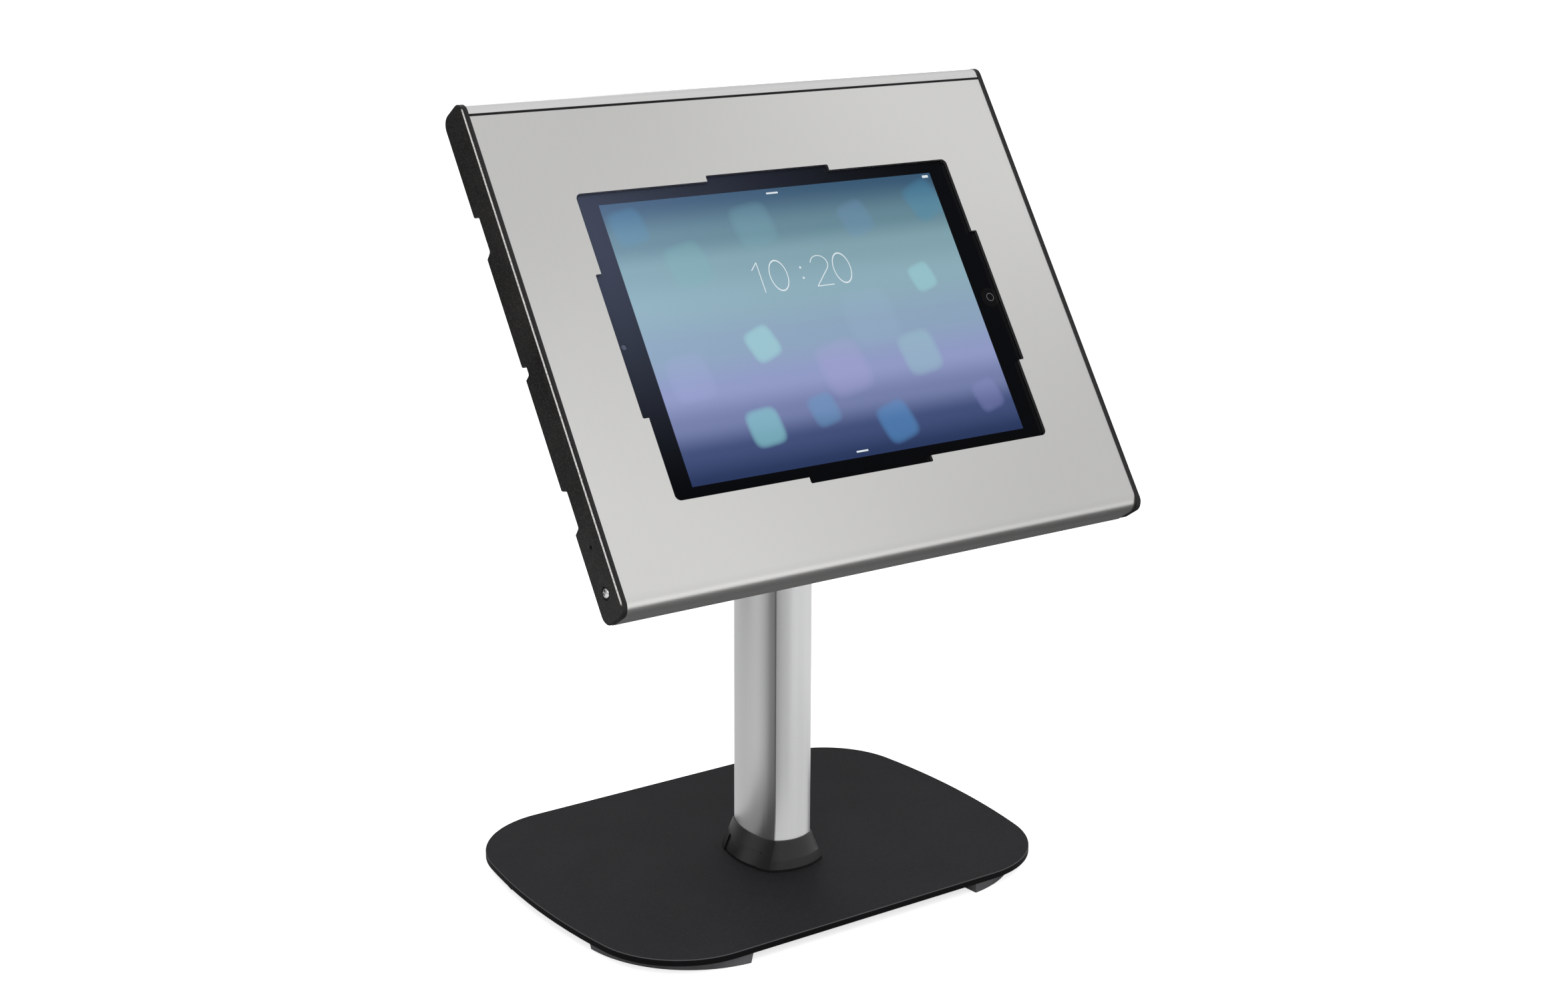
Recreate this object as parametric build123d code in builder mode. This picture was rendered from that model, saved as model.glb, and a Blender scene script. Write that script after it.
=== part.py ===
from build123d import *
import os
from math import cos, radians, sin

# Tablet security kiosk stand: a locked tablet housing that tilts and turns on an aluminium column
# with a flat base plate. Millimetres and degrees, +Z up, the screen faces -Y and leans back.
# The floor is z = 0, x = 0 is the plane of symmetry, and y = 0 lies midway between front and back.

os.makedirs("parts", exist_ok=True)

# General clearances
overrun = 2.0
fit_gap = 0.05
running_gap = 0.1
seat_gap = 0.15

# Base plate and feet
base_width = 274.2
base_depth = 204.5
base_thickness = 3.5
base_side_bow = 13.7
base_corner_radius = 51.0
base_edge_radius = 0.6
base_set_back = 13.1
foot_height = 6.5
foot_radius = 65.9
foot_width = 16.0
foot_side_inset = 6.0
foot_front_inset = 1.15
foot_arc_angle = 80.0
foot_draft_angle = 8.0

# Column
column_y = -3.0
column_half_width = 16.1
column_half_depth = 22.9
column_bow_x = 4.7
column_bow_y = 3.4
column_edge_radius = 1.5
column_length = 235.0
column_wall = 2.4
port_inset_x = 3.2
port_inset_y = 4.1
port_radius = 3.9
port_hole_radius = 2.15
cable_way_radius = 8.0

# Collar round the foot of the column
collar_height = 15.6
collar_lip = 1.5
collar_flare_x = 7.3
collar_flare_y = 5.2
collar_corner_flare_x = 5.9
collar_corner_flare_y = 2.9
collar_rim = 0.5
outlet_half_width = 15.3
outlet_height = 9.0
outlet_recess = 0.7
outlet_inner_gap = 0.9

# Anchor plate and screws
anchor_floor = 0.65
anchor_margin = 6.0
anchor_corner_radius = 6.0
screw_hole_radius = 2.75
screw_head_radius = 4.6
screw_head_angle = 90.0
screw_thread_length = 12.0
socket_radius = 1.6
socket_depth = 1.6

# Hinge fork on top of the column
fork_base_thickness = 6.0
fork_inset = 0.6
ear_thickness = 5.0
eye_radius = 10.0
pivot_rise = 37.7
pivot_radius = 4.0
bush_wall = 1.0
bush_flange_thickness = 0.8
bush_flange_radius = 8.0
pivot_washer_radius = 8.0
pivot_washer_thickness = 0.8
pivot_head_radius = 6.5
pivot_head_height = 5.0
pivot_nut_height = 6.0

# Tilt knuckle and the bolt that the head turns on
tilt_angle = 34.09
knuckle_width = 17.0
neck_height = 16.0
flange_level = 16.0
flange_thickness = 4.0
flange_radius = 26.0
pad_radius = 25.0
turn_pad_thickness = 1.0
turn_bolt_radius = 5.0
turn_bolt_depth = 5.0
turn_head_radius = 9.0
turn_head_gap = 0.6
turn_washer_radius = 11.0
turn_washer_thickness = 0.8
hex_radius = 3.5
hex_depth = 2.5

# Round carrier between the turning bolt and the housing
hub_radius = 30.0
hub_height = 11.7
hub_disc_thickness = 5.0
hub_rim_width = 8.0
hub_screw_radius = 1.9
hub_screw_length = 5.5
hub_screw_count = 4
hub_screw_angle = 45.0
pan_head_radius = 3.6
pan_head_height = 1.7

# Housing shell, with the room that it has round the tablet's tray
room_above = 41.6
room_below = 35.85
room_beside = 27.3
sheet = 2.0
shell_inset = 0.4
shell_rear_inset = 0.8
panel_bottom_radius = 8.0
panel_lip = 5.0
lip_radius = 1.5
seam_drop = 8.0
seam_width = 1.0
gasket_recess = 0.5
profile_front_radius = 5.0
profile_back_radius = 6.0
profile_leg = 12.7
tongue_length = 4.6
tongue_thickness = 1.5
tongue_gap = 0.1
back_plate_thickness = 1.5

# Screen window, which covers the tablet's edge on all sides
window_cover_x = 10.0
window_cover_y = 7.15
window_corner_radius = 3.0
step_length = 74.0
step_depth = 3.2
step_radius = 0.8

# Side plates and their liners
side_proud = 0.3
side_thickness = 1.5
liner_thickness = 1.5
side_gap = 0.05
side_corner_radius = 6.0
side_edge_radius = 0.4
notch_spacing = 139.6
notch_mouth = 21.4
notch_slope = 1.8
notch_depth = 4.6
small_notch_mouth = 6.0
small_notch_slope = 0.9
small_notch_depth = 4.2
notch_radius = 1.0
cap_screw_radius = 1.5
cap_screw_length = 12.0
dome_radius = 2.6
dome_height = 1.5
dome_recess_gap = 0.7
dome_recess_depth = 0.7
pin_hole_rise = 36.2
pin_hole_setback = 10.2
pin_hole_radius = 1.1
peg_radius = 2.4
peg_length = 4.0
peg_drop = 24.0
peg_floor = 0.4
bracket_length = 16.0
bracket_reach = 11.0
bracket_rise = 1.7
bracket_floor = 2.6
bracket_wall = 2.7

# Cable slot in the back plate
cable_slot_inset = 14.8
cable_slot_width = 14.0
cable_slot_height = 44.0
cable_slot_radius = 3.0

# Tablet and its holder
tablet_width = 244.0
tablet_height = 172.3
tablet_thickness = 7.6
tablet_corner_radius = 9.5
tablet_edge_radius = 2.5
tablet_floor = 1.2
cavity_margin_x = 5.0
cavity_margin_y = 5.0
cell_gap = 5.0
cell_side_margin = 7.65
cell_end_margin = 12.65
cell_count = 3
cell_headroom = 0.8
glass_gap = 0.3
glass_thickness = 0.9
glass_inset = 0.5
bezel_x = 21.85
bezel_y = 13.25
display_thickness = 0.5
display_x = 0.3
button_shift = 0.95
button_radius = 5.5
button_sink = 0.1
button_disc_thickness = 0.8
button_stem_radius = 2.5
button_travel = 0.4
switch_radius = 3.0
switch_thickness = 0.8
switch_pocket_depth = 2.0
lens_inset = 10.2
lens_radius = 1.4
lens_thickness = 0.6
back_pad_thickness = 0.9
back_pad_width = 40.0
back_pad_height = 20.0
back_pad_spacing_x = 90.0
back_pad_spacing_y = 110.0
tray_head_gap = 0.4
tray_thickness = 1.5
tray_wall = 1.5
tray_wall_height = 6.0
tray_wall_long = 120.0
tray_wall_short = 80.0
edge_pad_thickness = 3.0
edge_pad_inset = 1.0
tray_post_radius = 4.0
tray_post_spacing_x = 200.0
tray_post_spacing_y = 60.0
tray_screw_radius = 1.5
tray_screw_head_radius = 3.0

# Heights above the floor that follow
base_bottom = foot_height
base_top = base_bottom + base_thickness
column_top = base_top + column_length
fork_base_top = column_top + fork_base_thickness
pivot_height = column_top + pivot_rise
column_corner_x = column_half_width - column_bow_x
column_corner_y = column_half_depth - column_bow_y
port_x = column_corner_x - port_inset_x
port_y = column_corner_y - port_inset_y
base_centre_y = column_y + base_set_back
sink_depth = screw_head_radius - screw_hole_radius

# Planes that the pieces are drawn on
column_floor = Plane((0, column_y, 0), x_dir=(1, 0, 0), z_dir=(0, 0, 1))
base_floor = Plane((0, base_centre_y, 0), x_dir=(1, 0, 0), z_dir=(0, 0, 1))
head = Plane(
    (0, column_y, pivot_height),
    x_dir=(1, 0, 0),
    z_dir=(0, -cos(radians(tilt_angle)), sin(radians(tilt_angle))),
)


def pivot_plane(x):
    """Upright plane square to the pivot, at x, with its own x to the back and its own y up."""
    return Plane((x, column_y, pivot_height), x_dir=(0, 1, 0), z_dir=(1, 0, 0))


def head_section(x):
    """Plane across the head at x: its own x runs up the head and its own y out of the screen."""
    return Plane(head.from_local_coords((x, 0, 0)), x_dir=head.y_dir, z_dir=head.x_dir)


# Levels in front of the pivot, square to the screen, each from the one behind it
flange_front = flange_level + flange_thickness
turn_pad_front = flange_front + turn_pad_thickness
hub_back = turn_pad_front + running_gap
hub_disc_front = hub_back + hub_disc_thickness
back_plate_back = hub_back + hub_height
back_plate_front = back_plate_back + back_plate_thickness
tray_back = back_plate_front + pan_head_height + tray_head_gap
tray_front = tray_back + tray_thickness
tablet_back = tray_front + back_pad_thickness
glass_front = tablet_back + tablet_thickness
glass_back = glass_front - glass_thickness
panel_back = glass_front + glass_gap
head_reach = panel_back + sheet
side_front = head_reach + side_proud
side_back = back_plate_back - notch_depth
side_depth = side_front - side_back
shell_back = side_back + shell_rear_inset
tongue_front = panel_back - tongue_gap
tongue_back = tongue_front - tongue_thickness
back_flange = panel_back - (panel_bottom_radius - sheet) - running_gap - back_plate_front

# The tray, the shell round it and the window over it
tray_width = tablet_width + 2 * (edge_pad_thickness + tray_wall)
tray_height = tablet_height + 2 * (edge_pad_thickness + tray_wall)
panel_width = tray_width + 2 * room_beside
window_width = tablet_width - 2 * window_cover_x
window_height = tablet_height - 2 * window_cover_y

# Places up the head, from the pivot
head_bottom = -tray_height / 2 - room_below
head_top = tray_height / 2 + room_above
head_height = head_top - head_bottom
shell_bottom = head_bottom + shell_inset
shell_top = head_top - shell_inset
panel_top = head_top - seam_drop - seam_width / 2
profile_bottom = panel_top + seam_width
inner_bottom = shell_bottom + sheet
inner_top = shell_top - sheet


def arched_outline(half_width, half_depth, corner_x, corner_y):
    """Four arcs round the axis, meeting at four corners."""
    ThreePointArc((-corner_x, -corner_y), (0, -half_depth), (corner_x, -corner_y))
    ThreePointArc((corner_x, -corner_y), (half_width, 0), (corner_x, corner_y))
    ThreePointArc((corner_x, corner_y), (0, half_depth), (-corner_x, corner_y))
    ThreePointArc((-corner_x, corner_y), (-half_width, 0), (-corner_x, -corner_y))


def column_outline(grow=0):
    """The column's outline, grown or shrunk by a clearance or a wall."""
    arched_outline(
        column_half_width + grow,
        column_half_depth + grow,
        column_corner_x + grow,
        column_corner_y + grow,
    )


def collar_outline(shrink=0):
    """The outline of the collar's skirt at its lip."""
    arched_outline(
        column_half_width + collar_flare_x - shrink,
        column_half_depth + collar_flare_y - shrink,
        column_corner_x + collar_corner_flare_x - shrink,
        column_corner_y + collar_corner_flare_y - shrink,
    )


# Base plate: straight front and back, bowed short sides
with BuildPart() as base_plate:
    with BuildSketch(base_floor.offset(base_bottom)) as base_face:
        with BuildLine():
            half_depth = base_depth / 2
            end_x = base_width / 2 - base_side_bow
            Line((-end_x, -half_depth), (end_x, -half_depth))
            ThreePointArc((end_x, -half_depth), (base_width / 2, 0), (end_x, half_depth))
            Line((end_x, half_depth), (-end_x, half_depth))
            ThreePointArc((-end_x, half_depth), (-base_width / 2, 0), (-end_x, -half_depth))
        make_face()
        fillet(base_face.vertices(), radius=base_corner_radius)
    extrude(amount=base_thickness)
    fillet(base_plate.faces().sort_by(Axis.Z)[-1].edges(), radius=base_edge_radius)
    with BuildSketch(column_floor.offset(base_bottom)):
        Circle(cable_way_radius)
        with GridLocations(2 * port_x, 2 * port_y, 2, 2):
            Circle(screw_hole_radius)
    extrude(amount=base_thickness, mode=Mode.SUBTRACT)

base_plate.part.label = "base_plate"
export_step(base_plate.part, "parts/base_plate.step")

# Rubber feet: one crescent under each corner, narrower at the floor
foot_x = base_width / 2 - foot_side_inset - foot_radius
foot_y = base_depth / 2 - foot_front_inset - foot_radius
foot_inner_radius = foot_radius - foot_width
foot_places = {
    "foot_rear_right": (1, 1),
    "foot_rear_left": (-1, 1),
    "foot_front_left": (-1, -1),
    "foot_front_right": (1, -1),
}
for foot_name, (side_x, side_y) in foot_places.items():
    foot_plane = Plane(
        base_floor.from_local_coords((side_x * foot_x, side_y * foot_y, 0)),
        x_dir=(side_x, side_y, 0),
        z_dir=(0, 0, 1),
    )
    half_span = foot_arc_angle / 2
    with BuildPart() as foot:
        with BuildSketch(foot_plane.offset(foot_height)):
            with BuildLine():
                outer = CenterArc((0, 0), foot_radius, -half_span, foot_arc_angle)
                inner = CenterArc((0, 0), foot_inner_radius, -half_span, foot_arc_angle)
                Line(outer @ 0, inner @ 0)
                Line(outer @ 1, inner @ 1)
            make_face()
        extrude(amount=foot_height, dir=(0, 0, -1), taper=foot_draft_angle)
    foot.part.label = foot_name
    export_step(foot.part, f"parts/{foot_name}.step")

# Anchor plate under the base, countersunk for the screws into the column
anchor_width = 2 * (port_x + screw_head_radius + anchor_margin)
anchor_depth = 2 * (port_y + screw_head_radius + anchor_margin)
anchor_thickness = sink_depth + anchor_floor
anchor_bottom = base_bottom - anchor_thickness
with BuildPart() as anchor_plate:
    with BuildSketch(column_floor.offset(anchor_bottom)):
        RectangleRounded(anchor_width, anchor_depth, anchor_corner_radius)
        Circle(cable_way_radius, mode=Mode.SUBTRACT)
    extrude(amount=anchor_thickness)
    with Locations(Plane((0, column_y, anchor_bottom), x_dir=(1, 0, 0), z_dir=(0, 0, -1))):
        with GridLocations(2 * port_x, 2 * port_y, 2, 2):
            CounterSinkHole(screw_hole_radius, screw_head_radius, counter_sink_angle=screw_head_angle)

anchor_plate.part.label = "anchor_plate"
export_step(anchor_plate.part, "parts/anchor_plate.step")

# Extruded column with four screw ports and a cable way up its middle
with BuildPart() as column:
    with BuildSketch(column_floor.offset(base_top)) as column_face:
        with BuildLine():
            column_outline()
        make_face()
        fillet(column_face.vertices(), radius=column_edge_radius)
        with BuildLine():
            column_outline(-column_wall)
        make_face(mode=Mode.SUBTRACT)
        with GridLocations(2 * port_x, 2 * port_y, 2, 2):
            Circle(port_radius)
        with GridLocations(2 * port_x, 2 * port_y, 2, 2):
            Circle(port_hole_radius, mode=Mode.SUBTRACT)
    extrude(amount=column_length)

column.part.label = "column"
export_step(column.part, "parts/column.step")

# Countersunk screws from below into the column's ports
screw_shank_radius = port_hole_radius - fit_gap
head_cone_height = screw_head_radius - screw_shank_radius
with BuildPart() as base_screws:
    with BuildSketch(column_floor.offset(anchor_bottom)):
        with GridLocations(2 * port_x, 2 * port_y, 2, 2):
            Circle(screw_shank_radius)
    extrude(amount=anchor_thickness + base_thickness + screw_thread_length)
    with Locations((0, column_y, anchor_bottom + head_cone_height / 2)):
        with GridLocations(2 * port_x, 2 * port_y, 2, 2):
            Cone(screw_head_radius - fit_gap, screw_shank_radius - fit_gap, head_cone_height)
    with BuildSketch(column_floor.offset(anchor_bottom)):
        with GridLocations(2 * port_x, 2 * port_y, 2, 2):
            RegularPolygon(socket_radius, 6)
    extrude(amount=socket_depth, mode=Mode.SUBTRACT)

base_screws.part.label = "base_screws"
export_step(base_screws.part, "parts/base_screws.step")

# Plastic collar: a flared skirt that hugs the column, with an outlet in its left face
outlet_inner = column_half_width + outlet_inner_gap
collar_half_width = column_half_width + collar_flare_x
with BuildPart() as column_collar:
    with BuildSketch(column_floor.offset(base_top)) as lip_face:
        with BuildLine():
            collar_outline()
        make_face()
        fillet(lip_face.vertices(), radius=column_edge_radius)
    extrude(amount=collar_lip)
    with BuildSketch(column_floor.offset(base_top + collar_lip)) as flare_foot:
        with BuildLine():
            collar_outline()
        make_face()
        fillet(flare_foot.vertices(), radius=column_edge_radius)
    with BuildSketch(column_floor.offset(base_top + collar_height)) as flare_top:
        with BuildLine():
            column_outline(seat_gap + collar_rim)
        make_face()
        fillet(flare_top.vertices(), radius=column_edge_radius)
    loft()
    with BuildSketch(column_floor.offset(base_top)) as column_hole:
        with BuildLine():
            column_outline(seat_gap)
        make_face()
        fillet(column_hole.vertices(), radius=column_edge_radius)
    extrude(amount=collar_height, mode=Mode.SUBTRACT)
    with BuildSketch(column_floor.offset(base_top)):
        with Locations((-collar_half_width, 0)):
            Rectangle(
                2 * (collar_half_width - outlet_inner + seat_gap),
                2 * outlet_half_width,
            )
    extrude(amount=outlet_height, mode=Mode.SUBTRACT)

column_collar.part.label = "column_collar"
export_step(column_collar.part, "parts/column_collar.step")

# Snap-in cover of the collar's cable outlet, set a little below the skirt's face
with BuildPart() as cable_outlet_cover:
    with BuildSketch(column_floor.offset(base_top)):
        with BuildLine():
            collar_outline(outlet_recess)
        make_face()
    extrude(amount=collar_lip)
    with BuildSketch(column_floor.offset(base_top + collar_lip)):
        with BuildLine():
            collar_outline(outlet_recess)
        make_face()
    with BuildSketch(column_floor.offset(base_top + collar_height)):
        with BuildLine():
            column_outline(seat_gap + collar_rim - outlet_recess)
        make_face()
    loft()
    with BuildSketch(column_floor.offset(base_top)):
        with Locations((-collar_half_width, 0)):
            Rectangle(
                2 * (collar_half_width - outlet_inner),
                2 * (outlet_half_width - seat_gap),
            )
    extrude(amount=outlet_height - seat_gap, mode=Mode.INTERSECT)

cable_outlet_cover.part.label = "cable_outlet_cover"
export_step(cable_outlet_cover.part, "parts/cable_outlet_cover.step")

# Hinge fork: a base screwed to the column's end and two ears
ear_inner = knuckle_width / 2 + bush_flange_thickness + running_gap
ear_outer = ear_inner + ear_thickness
fork_stem = pivot_rise - fork_base_thickness
with BuildPart() as hinge_fork:
    with BuildSketch(column_floor.offset(column_top)) as fork_foot:
        with BuildLine():
            column_outline(-fork_inset)
        make_face()
        fillet(fork_foot.vertices(), radius=column_edge_radius)
        Circle(cable_way_radius, mode=Mode.SUBTRACT)
    extrude(amount=fork_base_thickness)
    with BuildSketch(column_floor.offset(column_top)):
        with GridLocations(2 * port_x, 2 * port_y, 2, 2):
            Circle(screw_hole_radius)
    extrude(amount=fork_base_thickness, mode=Mode.SUBTRACT)
    with Locations((0, column_y, fork_base_top - sink_depth / 2)):
        with GridLocations(2 * port_x, 2 * port_y, 2, 2):
            Cone(screw_hole_radius, screw_head_radius, sink_depth, mode=Mode.SUBTRACT)
    for ear_start in (ear_inner, -ear_outer):
        with BuildSketch(pivot_plane(ear_start)):
            Circle(eye_radius)
            with Locations((0, -fork_stem / 2)):
                Rectangle(2 * eye_radius, fork_stem)
            Circle(pivot_radius + fit_gap, mode=Mode.SUBTRACT)
        extrude(amount=ear_thickness)

hinge_fork.part.label = "hinge_fork"
export_step(hinge_fork.part, "parts/hinge_fork.step")

# Countersunk screws through the fork into the column's ports
with BuildPart() as fork_screws:
    with BuildSketch(column_floor.offset(fork_base_top)):
        with GridLocations(2 * port_x, 2 * port_y, 2, 2):
            Circle(screw_shank_radius)
    extrude(amount=-(fork_base_thickness + screw_thread_length))
    with Locations((0, column_y, fork_base_top - head_cone_height / 2)):
        with GridLocations(2 * port_x, 2 * port_y, 2, 2):
            Cone(screw_shank_radius - fit_gap, screw_head_radius - fit_gap, head_cone_height)
    with BuildSketch(column_floor.offset(fork_base_top)):
        with GridLocations(2 * port_x, 2 * port_y, 2, 2):
            RegularPolygon(socket_radius, 6)
    extrude(amount=-socket_depth, mode=Mode.SUBTRACT)

fork_screws.part.label = "fork_screws"
export_step(fork_screws.part, "parts/fork_screws.step")

# Pivot bolt across the ears, with its washers and nut
washer_outer = ear_outer + pivot_washer_thickness
with BuildPart() as pivot_bolt:
    with BuildSketch(pivot_plane(-washer_outer)):
        Circle(pivot_radius)
    extrude(amount=2 * washer_outer + pivot_nut_height)
    with BuildSketch(pivot_plane(-washer_outer)):
        Circle(pivot_head_radius)
    extrude(amount=-pivot_head_height)
    fillet(pivot_bolt.faces().sort_by(Axis.X)[0].edges(), radius=base_edge_radius)
    with BuildSketch(pivot_plane(-washer_outer - pivot_head_height)):
        RegularPolygon(hex_radius, 6)
    extrude(amount=hex_depth, mode=Mode.SUBTRACT)

pivot_bolt.part.label = "pivot_bolt"
export_step(pivot_bolt.part, "parts/pivot_bolt.step")

with BuildPart() as pivot_washers:
    for washer_start in (ear_outer, -washer_outer):
        with BuildSketch(pivot_plane(washer_start)):
            Circle(pivot_washer_radius)
            Circle(pivot_radius + fit_gap, mode=Mode.SUBTRACT)
        extrude(amount=pivot_washer_thickness)

pivot_washers.part.label = "pivot_washers"
export_step(pivot_washers.part, "parts/pivot_washers.step")

with BuildPart() as pivot_nut:
    with BuildSketch(pivot_plane(washer_outer)):
        RegularPolygon(pivot_head_radius, 6)
        Circle(pivot_radius + fit_gap, mode=Mode.SUBTRACT)
    extrude(amount=pivot_nut_height)

pivot_nut.part.label = "pivot_nut"
export_step(pivot_nut.part, "parts/pivot_nut.step")

# Tilt knuckle: an eye round the pivot, a neck and a round flange
turn_bolt_back = flange_level - turn_bolt_depth
knuckle_bore = pivot_radius + fit_gap + bush_wall + fit_gap
with BuildPart() as tilt_knuckle:
    with BuildSketch(pivot_plane(-knuckle_width / 2)):
        Circle(eye_radius)
    extrude(amount=knuckle_width)
    with BuildSketch(head):
        RectangleRounded(knuckle_width, neck_height, lip_radius)
    extrude(amount=flange_level)
    with BuildSketch(head.offset(flange_level)):
        Circle(flange_radius)
    extrude(amount=flange_thickness)
    with BuildSketch(pivot_plane(-knuckle_width / 2)):
        Circle(knuckle_bore)
    extrude(amount=knuckle_width, mode=Mode.SUBTRACT)
    with BuildSketch(head.offset(turn_bolt_back - fit_gap)):
        Circle(turn_bolt_radius + fit_gap)
    extrude(amount=flange_front - turn_bolt_back + overrun, mode=Mode.SUBTRACT)

tilt_knuckle.part.label = "tilt_knuckle"
export_step(tilt_knuckle.part, "parts/tilt_knuckle.step")

# Flanged bushes in the knuckle's eye
with BuildPart() as pivot_bushes:
    for bush_side in (1, -1):
        with BuildSketch(pivot_plane(bush_side * knuckle_width / 2)):
            Circle(bush_flange_radius)
            Circle(pivot_radius + fit_gap, mode=Mode.SUBTRACT)
        extrude(amount=bush_side * bush_flange_thickness)
        with BuildSketch(pivot_plane(bush_side * knuckle_width / 2)):
            Circle(pivot_radius + fit_gap + bush_wall)
            Circle(pivot_radius + fit_gap, mode=Mode.SUBTRACT)
        extrude(amount=-bush_side * (knuckle_width / 2 - running_gap))

pivot_bushes.part.label = "pivot_bushes"
export_step(pivot_bushes.part, "parts/pivot_bushes.step")

# Sliding pad between the flange and the turning carrier
with BuildPart() as turn_pad:
    with BuildSketch(head.offset(flange_front)):
        Circle(pad_radius)
        Circle(turn_bolt_radius + fit_gap, mode=Mode.SUBTRACT)
    extrude(amount=turn_pad_thickness)

turn_pad.part.label = "turn_pad"
export_step(turn_pad.part, "parts/turn_pad.step")

# Shoulder bolt and washer that hold the turning carrier to the flange
turn_washer_back = hub_disc_front + running_gap
turn_washer_front = turn_washer_back + turn_washer_thickness
turn_head_height = back_plate_back - turn_head_gap - turn_washer_front
with BuildPart() as turn_bolt:
    with BuildSketch(head.offset(turn_bolt_back)):
        Circle(turn_bolt_radius)
    extrude(amount=turn_washer_front - turn_bolt_back)
    with BuildSketch(head.offset(turn_washer_front)):
        Circle(turn_head_radius)
    extrude(amount=turn_head_height)
    with BuildSketch(head.offset(turn_washer_front + turn_head_height)):
        RegularPolygon(hex_radius, 6)
    extrude(amount=-hex_depth, mode=Mode.SUBTRACT)

turn_bolt.part.label = "turn_bolt"
export_step(turn_bolt.part, "parts/turn_bolt.step")

with BuildPart() as turn_washer:
    with BuildSketch(head.offset(turn_washer_back)):
        Circle(turn_washer_radius)
        Circle(turn_bolt_radius + fit_gap, mode=Mode.SUBTRACT)
    extrude(amount=turn_washer_thickness)

turn_washer.part.label = "turn_washer"
export_step(turn_washer.part, "parts/turn_washer.step")

# Round carrier: a disc on the shoulder bolt and a rim that the housing is screwed to
hub_screw_hole = hub_screw_radius + fit_gap
hub_screw_ring = hub_radius - hub_rim_width / 2
with BuildPart() as hub_carrier:
    with BuildSketch(head.offset(hub_back)):
        Circle(hub_radius)
    extrude(amount=hub_height)
    with BuildSketch(head.offset(hub_disc_front)):
        Circle(hub_radius - hub_rim_width)
    extrude(amount=back_plate_back - hub_disc_front, mode=Mode.SUBTRACT)
    with BuildSketch(head.offset(hub_back)):
        Circle(turn_bolt_radius + fit_gap)
    extrude(amount=hub_disc_thickness, mode=Mode.SUBTRACT)
    with BuildSketch(head.offset(back_plate_back)):
        with PolarLocations(hub_screw_ring, hub_screw_count, start_angle=hub_screw_angle):
            Circle(hub_screw_hole)
    extrude(amount=-(hub_screw_length + running_gap), mode=Mode.SUBTRACT)

hub_carrier.part.label = "hub_carrier"
export_step(hub_carrier.part, "parts/hub_carrier.step")

with BuildPart() as hub_screws:
    with BuildSketch(head.offset(back_plate_front)):
        with PolarLocations(hub_screw_ring, hub_screw_count, start_angle=hub_screw_angle):
            Circle(hub_screw_radius)
    extrude(amount=-(back_plate_thickness + hub_screw_length))
    with BuildSketch(head.offset(back_plate_front)):
        with PolarLocations(hub_screw_ring, hub_screw_count, start_angle=hub_screw_angle):
            Circle(pan_head_radius)
    extrude(amount=pan_head_height)

hub_screws.part.label = "hub_screws"
export_step(hub_screws.part, "parts/hub_screws.step")

# Back plate: a folded tray between the side liners, with a cable slot beside the tablet
back_half_width = panel_width / 2 - seat_gap
back_bottom = inner_bottom + seat_gap
back_top = inner_top - seat_gap
back_height = back_top - back_bottom
back_middle = (back_top + back_bottom) / 2
cable_slot_x = panel_width / 2 - cable_slot_inset
cap_screw_y = back_bottom + back_plate_thickness + bracket_rise + bracket_length / 2
cap_screw_level = back_plate_front + bracket_floor + cap_screw_radius
bracket_height = bracket_floor + 2 * cap_screw_radius + bracket_wall
peg_y = head_top - peg_drop
peg_level = back_plate_front + peg_floor + peg_radius
with BuildPart() as back_plate:
    with BuildSketch(head.offset(back_plate_back)):
        with Locations((0, back_middle)):
            Rectangle(2 * back_half_width, back_height)
    extrude(amount=back_plate_thickness + back_flange)
    with BuildSketch(head.offset(back_plate_front)):
        with Locations((0, back_middle)):
            Rectangle(
                2 * (back_half_width - back_plate_thickness),
                back_height - 2 * back_plate_thickness,
            )
    extrude(amount=back_flange, mode=Mode.SUBTRACT)
    with BuildSketch(head.offset(back_plate_back)):
        with Locations((cable_slot_x, 0)):
            RectangleRounded(cable_slot_width, cable_slot_height, cable_slot_radius)
        with PolarLocations(hub_screw_ring, hub_screw_count, start_angle=hub_screw_angle):
            Circle(hub_screw_hole)
        with GridLocations(tray_post_spacing_x, tray_post_spacing_y, 2, 2):
            Circle(tray_screw_radius + fit_gap)
    extrude(amount=back_plate_thickness, mode=Mode.SUBTRACT)
    with BuildSketch(head_section(-back_half_width)):
        with Locations((cap_screw_y, cap_screw_level)):
            Circle(cap_screw_radius + fit_gap)
        with Locations((peg_y, peg_level)):
            Circle(peg_radius + seat_gap)
    extrude(amount=2 * back_half_width, mode=Mode.SUBTRACT)

back_plate.part.label = "back_plate"
export_step(back_plate.part, "parts/back_plate.step")

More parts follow.
